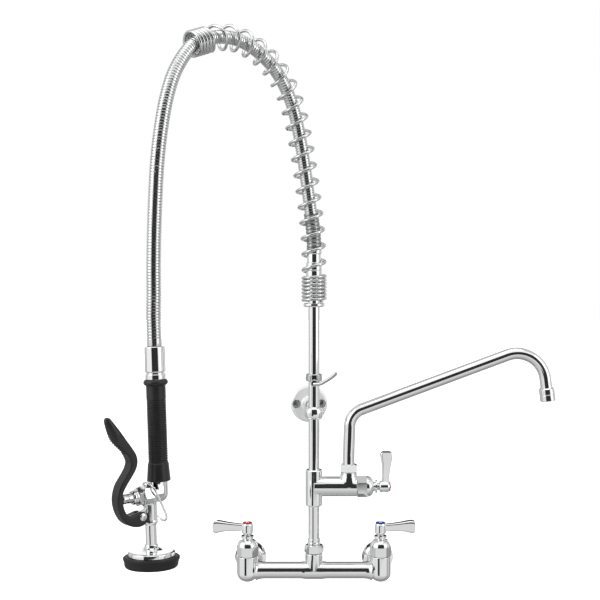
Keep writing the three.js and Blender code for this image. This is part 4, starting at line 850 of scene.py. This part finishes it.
settle(break_edges(nut, 0.35), "faucet", "spout_nut", RISER @ at(SPOUT_AXIS))
washer_rubber = plastic_finish("washer_rubber", (0.02, 0.02, 0.022), 0.7, grain=0.00002)
dress("spout_washer", washer_rubber)

shell_top = spout_end - Vector((sin(SPOUT_END_LEAN), -cos(SPOUT_END_LEAN))) * 9
SHELL = RISER @ at(shell_top.x, 0, shell_top.y) @ Matrix.Rotation(-SPOUT_END_LEAN, 4, "Y")
shell = turned([
    (9.35, -4), (9.35, 0), (10.4, 0), (11.7, -1.5), (11.7, -9.5), (11.35, -10.2), (11.7, -10.9),
    (11.7, -19.2), (11.1, -20), (10.1, -20), (10.1, -9.3), (9.35, -9.3), (9.35, -4),
], 0.45, 72)
settle(shell, "swing_spout", "outlet_shell", SHELL)
screen = turned([
    (7.4, -13.5), (7.4, -10), (0, -10), (0, -9.6), (9.5, -9.6), (9.5, -13.9), (8.2, -13.9), (7.4, -13.5),
], 0.2, 48)
strands = []
for i in range(-6, 7):
    beside = i * STRAND_PITCH
    reach = sqrt(7.6**2 - beside**2)
    for a, b in (((-reach, beside, -13), (reach, beside, -13)),
                 ((beside, -reach, -13.3), (beside, reach, -13.3))):
        strands.append(wire([Vector(a) * MM, Vector(b) * MM], 0.2, 6))
join(screen, strands)
settle(screen, "swing_spout", "aerator", SHELL, bright_steel)

# ---------- wall bracket
# A cast ring on the riser with an arm screwed into a wall flange. A set screw locks the ring, and two
# countersunk screws hold the flange to the wall.
BRACKET_RISE = 4.2  # the arm above the ring's middle
FLANGE_FACE = 75.5
SCREW_SPREAD = 40.4
BRACKET = RISER @ at(0, 0, 240.8) @ Matrix.Rotation(radians(6), 4, "Z")

clamp = turned([
    (0, -9.2), (12.2, -9.2), (12.6, -8.7), (12.6, -7.7), (11.9, -7.3),
    *bow(-8.8, -0.6, 22.9, 22.9, -16, 17, 12), (11.8, 8.1), (10.4, 8.9), (9.9, 9.2), (0, 9.2),
], 0.8, 96)
arm = put(rod(6.4, 0, 73.5, 48), at(0, 0, BRACKET_RISE) @ ALONG_Y)
root = put(turned([(0, 8), (8.8, 8), (8.8, 17), (7.6, 18.6), (7.0, 20), (0, 20)], 0.6, 48),
           at(0, 0, BRACKET_RISE) @ ALONG_Y)
clamp = combine(clamp, "UNION", arm, root)
combine(clamp, "DIFFERENCE", rod(RISER_HOLE, -20, 20), put(rod(2.9, 8, 17, 32), ALONG_X))
settle(clamp, "wall_bracket", "bracket_ring", BRACKET, cast_chrome)

flange = put(turned([
    (6.7, 72), (6.7, 60), (9, 60), (9, 68.5), (10.4, 71.6), (13, FLANGE_FACE - 1.1),
    (25.7, FLANGE_FACE - 0.4), (29.7, 77.6), (29.7, 80), (0, 80), (0, 73.9), (6.7, 73.9), (6.7, 72),
], 0.7, 96), at(0, 0, BRACKET_RISE) @ ALONG_Y)
for x in (-SCREW_SPREAD / 2, SCREW_SPREAD / 2):
    combine(flange, "DIFFERENCE", put(turned([
        (0, 60), (6.8, 60), (6.8, 76.8), (3, 80.5), (0, 80.5),
    ], 0, 48), at(x, 0, BRACKET_RISE) @ ALONG_Y))
break_edges(flange, 0.25, 2, 40)
satin_chrome = metal_finish("satin_chrome", (0.93, 0.935, 0.94), 0.4, haze=0.08, haze_scale=300, tint=0.05,
                            bare=0.4)
settle(flange, "wall_bracket", "bracket_flange", BRACKET, satin_chrome)

wall_screw = turned([
    (0, 74.8), (3, 74.9), (5.2, 75.6), (5.9, 76.3), (5.9, 76.5), (2.6, 79.4), (2.6, 79.7), (0, 79.7),
], 0.15, 48)
wall_screw = combine(wall_screw, "DIFFERENCE",
                     put(cross_recess(3.1, 2.2, 0), at(0, 0, 74.8) @ Matrix.Rotation(pi, 4, "X")))
for side, x in (("left", -SCREW_SPREAD / 2), ("right", SCREW_SPREAD / 2)):
    place = BRACKET @ at(x, 0, BRACKET_RISE) @ ALONG_Y
    settle(twin(wall_screw), "wall_bracket", f"bracket_screw_{side}", place, rolled_steel)
bpy.data.objects.remove(wall_screw)


def set_screw(radius, low, high):
    """A headless screw with a hexagon socket in its upper end."""
    screw = turned([(0, low), (radius, low), (radius, high), (0, high)], 0.4, 40)
    return combine(screw, "DIFFERENCE", hex_bar(radius * 1.05, high - 2, high + 1, 0.02, 0.02))


settle(
    set_screw(2.6, 8.9, 15), "wall_bracket", "bracket_set_screw",
    BRACKET @ ALONG_X, bright_steel,
)

# ---------- finger hook
# A cast collar on the riser with a bent steel finger in its boss, on which the spray valve's ring is hung.
# A set screw on its left side holds it.
HOOK = RISER @ at(0, 0, 294.5)
FINGER_RADIUS = 2.9


def ball(radius, place, sides):
    """A ball round a place given in metres."""
    bpy.ops.mesh.primitive_uv_sphere_add(segments=sides, ring_count=sides // 2, radius=radius * MM,
                                         location=place)
    piece = bpy.context.object
    bpy.ops.object.transform_apply()
    return piece


hook = turned([(0, -5.5), (11.5, -5.5), (12.5, -4.5), (12.5, 4.5), (11.5, 5.5), (0, 5.5)], 0.5, 72)
hook_boss = put(turned([(0, -3.6), (4.4, -3.6), (5.6, -2), (5.6, 6), (0, 6)], 0.6, 40),
                at(0.4, -11.1, -7.4) @ ALONG_Y)
finger_route = smooth_route([Vector(p) * MM for p in (
    (0, -13.1, -9), (5, -15.6, -9), (10.9, -18.2, -7.4), (20, -21.2, -2), (27.8, -23.7, 3.4),
    (32.6, -25.1, 7.8),
)], 12)
finger = wire(finger_route, FINGER_RADIUS, 24)
hook = combine(hook, "UNION", hook_boss, finger, ball(FINGER_RADIUS + 0.06, finger_route[-1], 24))
combine(hook, "DIFFERENCE", rod(RISER_HOLE, -14, 7), put(rod(2.9, -15, -8, 32), ALONG_X))
hook_plate = metal_finish("hook_plate", (0.6, 0.605, 0.61), 0.08, haze=0.05, ripple=0.00002, ripple_scale=60)
settle(hook, "faucet", "finger_hook", HOOK, hook_plate)
settle(
    put(set_screw(2.6, 8.9, 13), Matrix.Rotation(pi, 4, "Z") @ ALONG_X),
    "faucet", "hook_screw", HOOK, bright_steel,
)

# ---------- grip
# The hand grip of the spray valve: black moulded nylon over the valve's long shank, with a round rim at
# the top, fine grooves down its waist and a flared skirt over the valve's neck. A chromed collar closes
# its upper end.
GRIP_TOP = -44.8
GRIP_BOTTOM = -181.5
SKIRT_TOP = -158
GRIP_RADIUS = 13.1
RIM_HALF_HEIGHT = 4
GROOVE_TOP = -70
GROOVE_COUNT = 26
GROOVE_PITCH = 3.25

collar = turned([
    (9.6, -36), (9.6, -35.3), (12.2, -35.3), (12.2, -37.6), (13, -37.6), (13.5, -38.3), (13.5, -44.5),
    (9.6, -44.5), (9.6, -36),
], 0.5, 72)
settle(collar, "spray_valve", "grip_collar", SPRAY)

grooves = []
for i in range(GROOVE_COUNT):
    z = GROOVE_TOP - i * GROOVE_PITCH
    grooves += [(GRIP_RADIUS, z), (GRIP_RADIUS, z - 1.5), (GRIP_RADIUS - 0.7, z - 2),
                (GRIP_RADIUS - 0.7, z - 2.8)]
grip = turned([*rounded([
    (9.6, -70), (9.6, GRIP_TOP), *bow(12.9, GRIP_TOP - RIM_HALF_HEIGHT, 3.6, RIM_HALF_HEIGHT, 90, -82, 14),
    (GRIP_RADIUS, GRIP_TOP - 2 * RIM_HALF_HEIGHT - 0.8), (GRIP_RADIUS, GROOVE_TOP + 0.5),
], 0.7), *grooves, *rounded([
    (GRIP_RADIUS, GROOVE_TOP - GROOVE_COUNT * GROOVE_PITCH), (GRIP_RADIUS, SKIRT_TOP + 1.4),
    (14, SKIRT_TOP), (14.2, SKIRT_TOP - 2), (15.9, GRIP_BOTTOM + 0.6), (15.3, GRIP_BOTTOM),
    (12.9, GRIP_BOTTOM), (12.9, -173.5), (9.6, -170.5), (9.6, -70),
], 0.6)], 0, 80)
nylon = plastic_finish("black_nylon", (0.017, 0.017, 0.0175), 0.33, 0.42, grain=0.00002, grain_scale=1400)
settle(grip, "spray_valve", "grip", SPRAY, nylon)

# ---------- spray valve body
# A polished, chromed brass casting: the shank inside the grip, an elbow with a hexagon boss for the plunger,
# an outlet barrel with a thinner tube below, and a lug between the squeeze lever's forks.
BOSS_LEVEL = -198
OUTLET_REACH = 14.8
PIVOT_REACH = 32
PIVOT_LEVEL = -224
LUG_RADIUS = 5.8

valve = turned([
    (0, BOSS_LEVEL), (12.2, BOSS_LEVEL), (12.2, -174), (9, -171.4), (9, -17), (0, -17),
], 0.4)
elbow = ball(12.23, (0, 0, BOSS_LEVEL * MM), 64)
run = put(rod(12.2, 0, OUTLET_REACH), at(0, 0, BOSS_LEVEL) @ ALONG_X)
boss = put(hex_bar(24.8, OUTLET_REACH - 4, 29, 1.6, 1.3),
           at(0, 0, BOSS_LEVEL) @ ALONG_X @ Matrix.Rotation(pi / 9, 4, "Z"))
break_edges(boss, 0.5, 3)
barrel = put(turned([
    (0, -268), (7.6, -268), (7.6, -238), (8.6, -236.8), (9.9, -235.6), (9.9, -233.2), (9.2, -232),
    (9.2, -210), (11.2, -202), (0, BOSS_LEVEL),
], 0.6), at(OUTLET_REACH))
lug = slab([
    (OUTLET_REACH, PIVOT_LEVEL + 10), (PIVOT_REACH - 1, PIVOT_LEVEL + LUG_RADIUS + 0.2),
    *[(PIVOT_REACH + LUG_RADIUS * cos(radians(a)), PIVOT_LEVEL + LUG_RADIUS * sin(radians(a)))
      for a in range(75, -90, -15)],
    (PIVOT_REACH - 1, PIVOT_LEVEL - LUG_RADIUS), (OUTLET_REACH, PIVOT_LEVEL - 7),
], 7, 0.5, 2)
valve = combine(valve, "UNION", elbow, run, barrel, boss, lug)
combine(
    valve, "DIFFERENCE", put(rod(9.2, 9, 32), at(0, 0, BOSS_LEVEL) @ ALONG_X),
    put(rod(3, -10, 10, 32), at(PIVOT_REACH, 0, PIVOT_LEVEL) @ ALONG_Y),
)
settle(valve, "spray_valve", "valve_body", SPRAY, cast_chrome)

# ---------- plunger and its bonnet
# The bonnet screws into the boss and guides the plunger, a bright stainless rod with a domed end that the
# squeeze lever pushes in.
spray_bonnet = break_edges(hex_bar(21.6, 29.3, 36.7, 1.2, 1.2), 0.4, 3)
nose = turned([
    (0, 36), (9.6, 36), (9.6, 38.2), (8.9, 38.7), (8.9, 39.4), (9.6, 39.9), (9.6, 41.7), (8.4, 43.3),
    (0, 43.3),
], 0.4)
thread = rod(8.5, 23, 30.3)
combine(combine(spray_bonnet, "UNION", nose, thread), "DIFFERENCE", rod(7.1, 15, 45))
settle(spray_bonnet, "spray_valve", "spray_bonnet", SPRAY @ at(0, 0, BOSS_LEVEL) @ ALONG_X)
plunger = turned([
    (0, 21), (6.7, 21), (6.7, 50), (5.9, 50.6), (5.9, 52.6), (6.7, 53.2), (6.7, 57.2),
    *bow(0, 57.2, 6.6, 3.1, 12, 90, 8),
], 0.3, 48)
settle(plunger, "plunger_pin", "plunger", SPRAY @ at(0, 0, BOSS_LEVEL) @ ALONG_X, bright_steel)

# ---------- squeeze lever
# Moulded black nylon: forked over the body's lug, curling round the plunger and rising along the grip to a
# rounded tip with finger teeth on its outer side. It turns on a riveted steel pivot.
LEVER_WIDTH = 18.4
LEVER_TIP = (75.6, 92, 3.7)  # reach and drop of its middle, and its radius
LEVER_OUTER = [  # reach and drop, from the tip down
    (79.2, 98), (77.6, 105.6), (74, 113.2), (69, 120.2), (63.2, 126.8), (56.8, 133.2), (51.6, 139.4),
    (48.4, 145.4), (46.9, 150.6), (49.4, 158.2), (55.6, 167.1), (63.1, 176.7), (67.5, 187), (69.1, 197),
    (68.1, 207.2), (64.6, 217.5), (58.9, 226.6), (51.3, 232.7), (44, 235.8), (35, 236.8), (27.4, 234.4),
    (23.6, 229),
]
LEVER_INNER = [  # and back up
    (24, 223), (27.6, 218.8), (34, 217.2), (44, 219.2), (50, 220.2), (54.6, 217), (57.8, 211), (59.8, 203),
    (60.4, 196), (59.4, 188.6), (54.6, 180.6), (46.6, 170.6), (40, 161.6), (36.8, 154), (36.4, 147),
    (38.6, 139.4), (44.6, 130), (53.2, 118), (62, 105.4), (69.4, 94.8),
]
TOOTH_COUNT = 9
TOOTH_PITCH = 3.9
tip = bow(LEVER_TIP[0], -LEVER_TIP[1], LEVER_TIP[2], LEVER_TIP[2], 155, 5, 5)
outline = smooth_outline([(r, -d) for r, d in LEVER_OUTER + LEVER_INNER] + tip, 3)
squeeze = slab(outline, LEVER_WIDTH, 4.4, 6)
nose = put(turned([
    (0, 0), (2, 0.3), (3.6, 1.7), (4.9, 4.6), (6.1, 9), (7.3, 15), (8.5, 22), (9.7, 30), (10.8, 38),
    (90, 41), (90, 250), (0, 250),
], 0, 48), at(77.6, 0, -88) @ Matrix.Rotation(-radians(152), 4, "Y"))
combine(squeeze, "INTERSECT", nose)
outer_side = smooth_route([Vector((r, 0, -d)) for r, d in LEVER_OUTER[2:7]])
teeth = walk(outer_side, [TOOTH_PITCH * i for i in range(TOOTH_COUNT)])
combine(squeeze, "DIFFERENCE", *[
    put(rod(1.8, -20, 20, 16), at(centre.x - 0.5, 0, centre.z + 0.4) @ ALONG_Y) for centre, _ in teeth
])
break_edges(squeeze, 0.5, 2, 40)
slot_height = 7 * LUG_RADIUS
bpy.ops.mesh.primitive_cube_add(size=MM, location=((PIVOT_REACH - 7.3) * MM, 0, PIVOT_LEVEL * MM),
                                scale=(30.6, 7.6, slot_height))
fork_slot = bpy.context.object
bpy.ops.object.transform_apply()
combine(
    squeeze, "DIFFERENCE", fork_slot, put(rod(3, -20, 20, 32), at(PIVOT_REACH, 0, PIVOT_LEVEL) @ ALONG_Y),
    put(rod(11.5, -20, 20), at(OUTLET_REACH, 0, PIVOT_LEVEL)),
)
settle(squeeze, "spray_lever", "squeeze_lever", SPRAY, nylon)
pivot = turned([
    (0, -11.3), (4.2, -11.3), (4.6, -10.6), (4.6, -9.5), (2.6, -9.5), (2.6, 9.5), (5.2, 9.5), (5.2, 10.4),
    *bow(0, 10.4, 5.1, 1.3, 8, 90, 6),
], 0.25, 48)
combine(pivot, "DIFFERENCE", cross_recess(2.4, 1.2, 11.7))
PIVOT = SPRAY @ at(PIVOT_REACH, 0, PIVOT_LEVEL) @ ALONG_Y
settle(pivot, "spray_valve", "lever_pivot", PIVOT, bright_steel)

# ---------- hold ring
# An oblong link of chromed wire that hangs round the valve's neck and flips over the lever's end to keep
# the spray on.
RING_TOP = Vector((19.6, 0, -181.4))
RING_END = Vector((-4.5, 0, -236))
RING_HALF = 16
RING_WIRE = 1.5

along = (RING_END - RING_TOP).normalized()
straight = (RING_END - RING_TOP).length - 2 * RING_HALF
ring_points = []
for start, turn in ((RING_HALF, pi), (RING_HALF + straight, 0)):
    ring_points += [
        RING_TOP + along * (start + RING_HALF * sin(turn + pi * i / 24))
        + Vector((0, RING_HALF * cos(turn + pi * i / 24), 0)) for i in range(25)
    ]
link = wire([p * MM for p in ring_points], RING_WIRE, 20, ring=True)
settle(link, "ring_link", "hold_ring", SPRAY)

# ---------- spray head
# A spun, chromed plate screwed on the outlet tube and held by a small screw. Its flat face has a ring of
# drilled nozzles, and a black rubber bumper is stretched round it.
PLATE_RADIUS = 31.5
FACE_RADIUS = 28
FACE_LEVEL = -290.4
SCREW_LEVEL = -267.5
HEAD_SET = (radians(-2.6), SPRAY_LEAN)  # the plate sits a little askew on its tube
head_seat = SPRAY @ Vector((OUTLET_REACH * MM, 0, -268 * MM))
HEAD = (Matrix.Translation(head_seat) @ Matrix.Rotation(HEAD_SET[0], 4, "X")
        @ Matrix.Rotation(HEAD_SET[1], 4, "Y") @ Matrix.Translation(-head_seat) @ SPRAY @ at(OUTLET_REACH))

plate = turned([
    (7.95, -270), (7.95, -264.6), (8.7, -264.6), (9.1, -265.4), (9.2, -268.4), (10.6, -270.2), (14, -271.3),
    (19, -272), (24, -272.6), (29.4, -273.3), (30.9, -274), (PLATE_RADIUS, -275), (PLATE_RADIUS, -279.6),
    (FACE_RADIUS, -279.6), (FACE_RADIUS, FACE_LEVEL), (21.5, FACE_LEVEL), (20.6, FACE_LEVEL + 1.2),
    (9, FACE_LEVEL + 1.2), (8, FACE_LEVEL), (0, FACE_LEVEL), (0, -272.6), (7.95, -272.6), (7.95, -270),
], 0.45, 96)
nozzle = turned([
    (0.7, FACE_LEVEL + 1.6), (0.7, FACE_LEVEL - 0.2), (1.2, FACE_LEVEL - 0.2), (1.7, FACE_LEVEL + 1.6),
    (0.7, FACE_LEVEL + 1.6),
], 0.1, 12, steps=2)
nozzles = []
for radius, count in ((18.4, 20), (14.8, 16), (11.2, 12)):
    for i in range(count):
        turn = 2 * pi * i / count
        nozzles.append(put(twin(nozzle), at(radius * cos(turn), radius * sin(turn))))
bpy.data.objects.remove(nozzle)
combine(plate, "DIFFERENCE", put(rod(1.5, 6, 14, 24), at(0, 0, SCREW_LEVEL) @ ALONG_Y))
join(plate, nozzles)
settle(plate, "spray_valve", "spray_plate", HEAD)

bumper = turned([
    (28.6, -286), (28.6, -279.9), (35.6, -279.9), (37.8, -281.2), (38, -282.6), (37.6, -284.2),
    (36.6, -286.2), (35.7, -292.4), (34, -294.4), (30, -294.4), (28.6, -293), (28.6, -286),
], 0.6, 96)
rubber = plastic_finish("black_rubber", (0.012, 0.012, 0.0125), 0.5, 0.35, grain=0.00003, grain_scale=1100)
settle(bumper, "spray_valve", "bumper", HEAD, rubber)
head_screw = turned([
    (0, 8.1), (1.2, 8.1), (1.2, 9.25), (2.3, 9.25), (2.3, 10.4), (1.8, 10.8), (0, 10.8),
], 0.15, 32)
combine(head_screw, "DIFFERENCE", hex_bar(2.2, 9.8, 12, 0.02, 0.02))
settle(
    head_screw, "spray_valve", "head_screw",
    HEAD @ at(0, 0, SCREW_LEVEL) @ ALONG_Y, bright_steel,
)
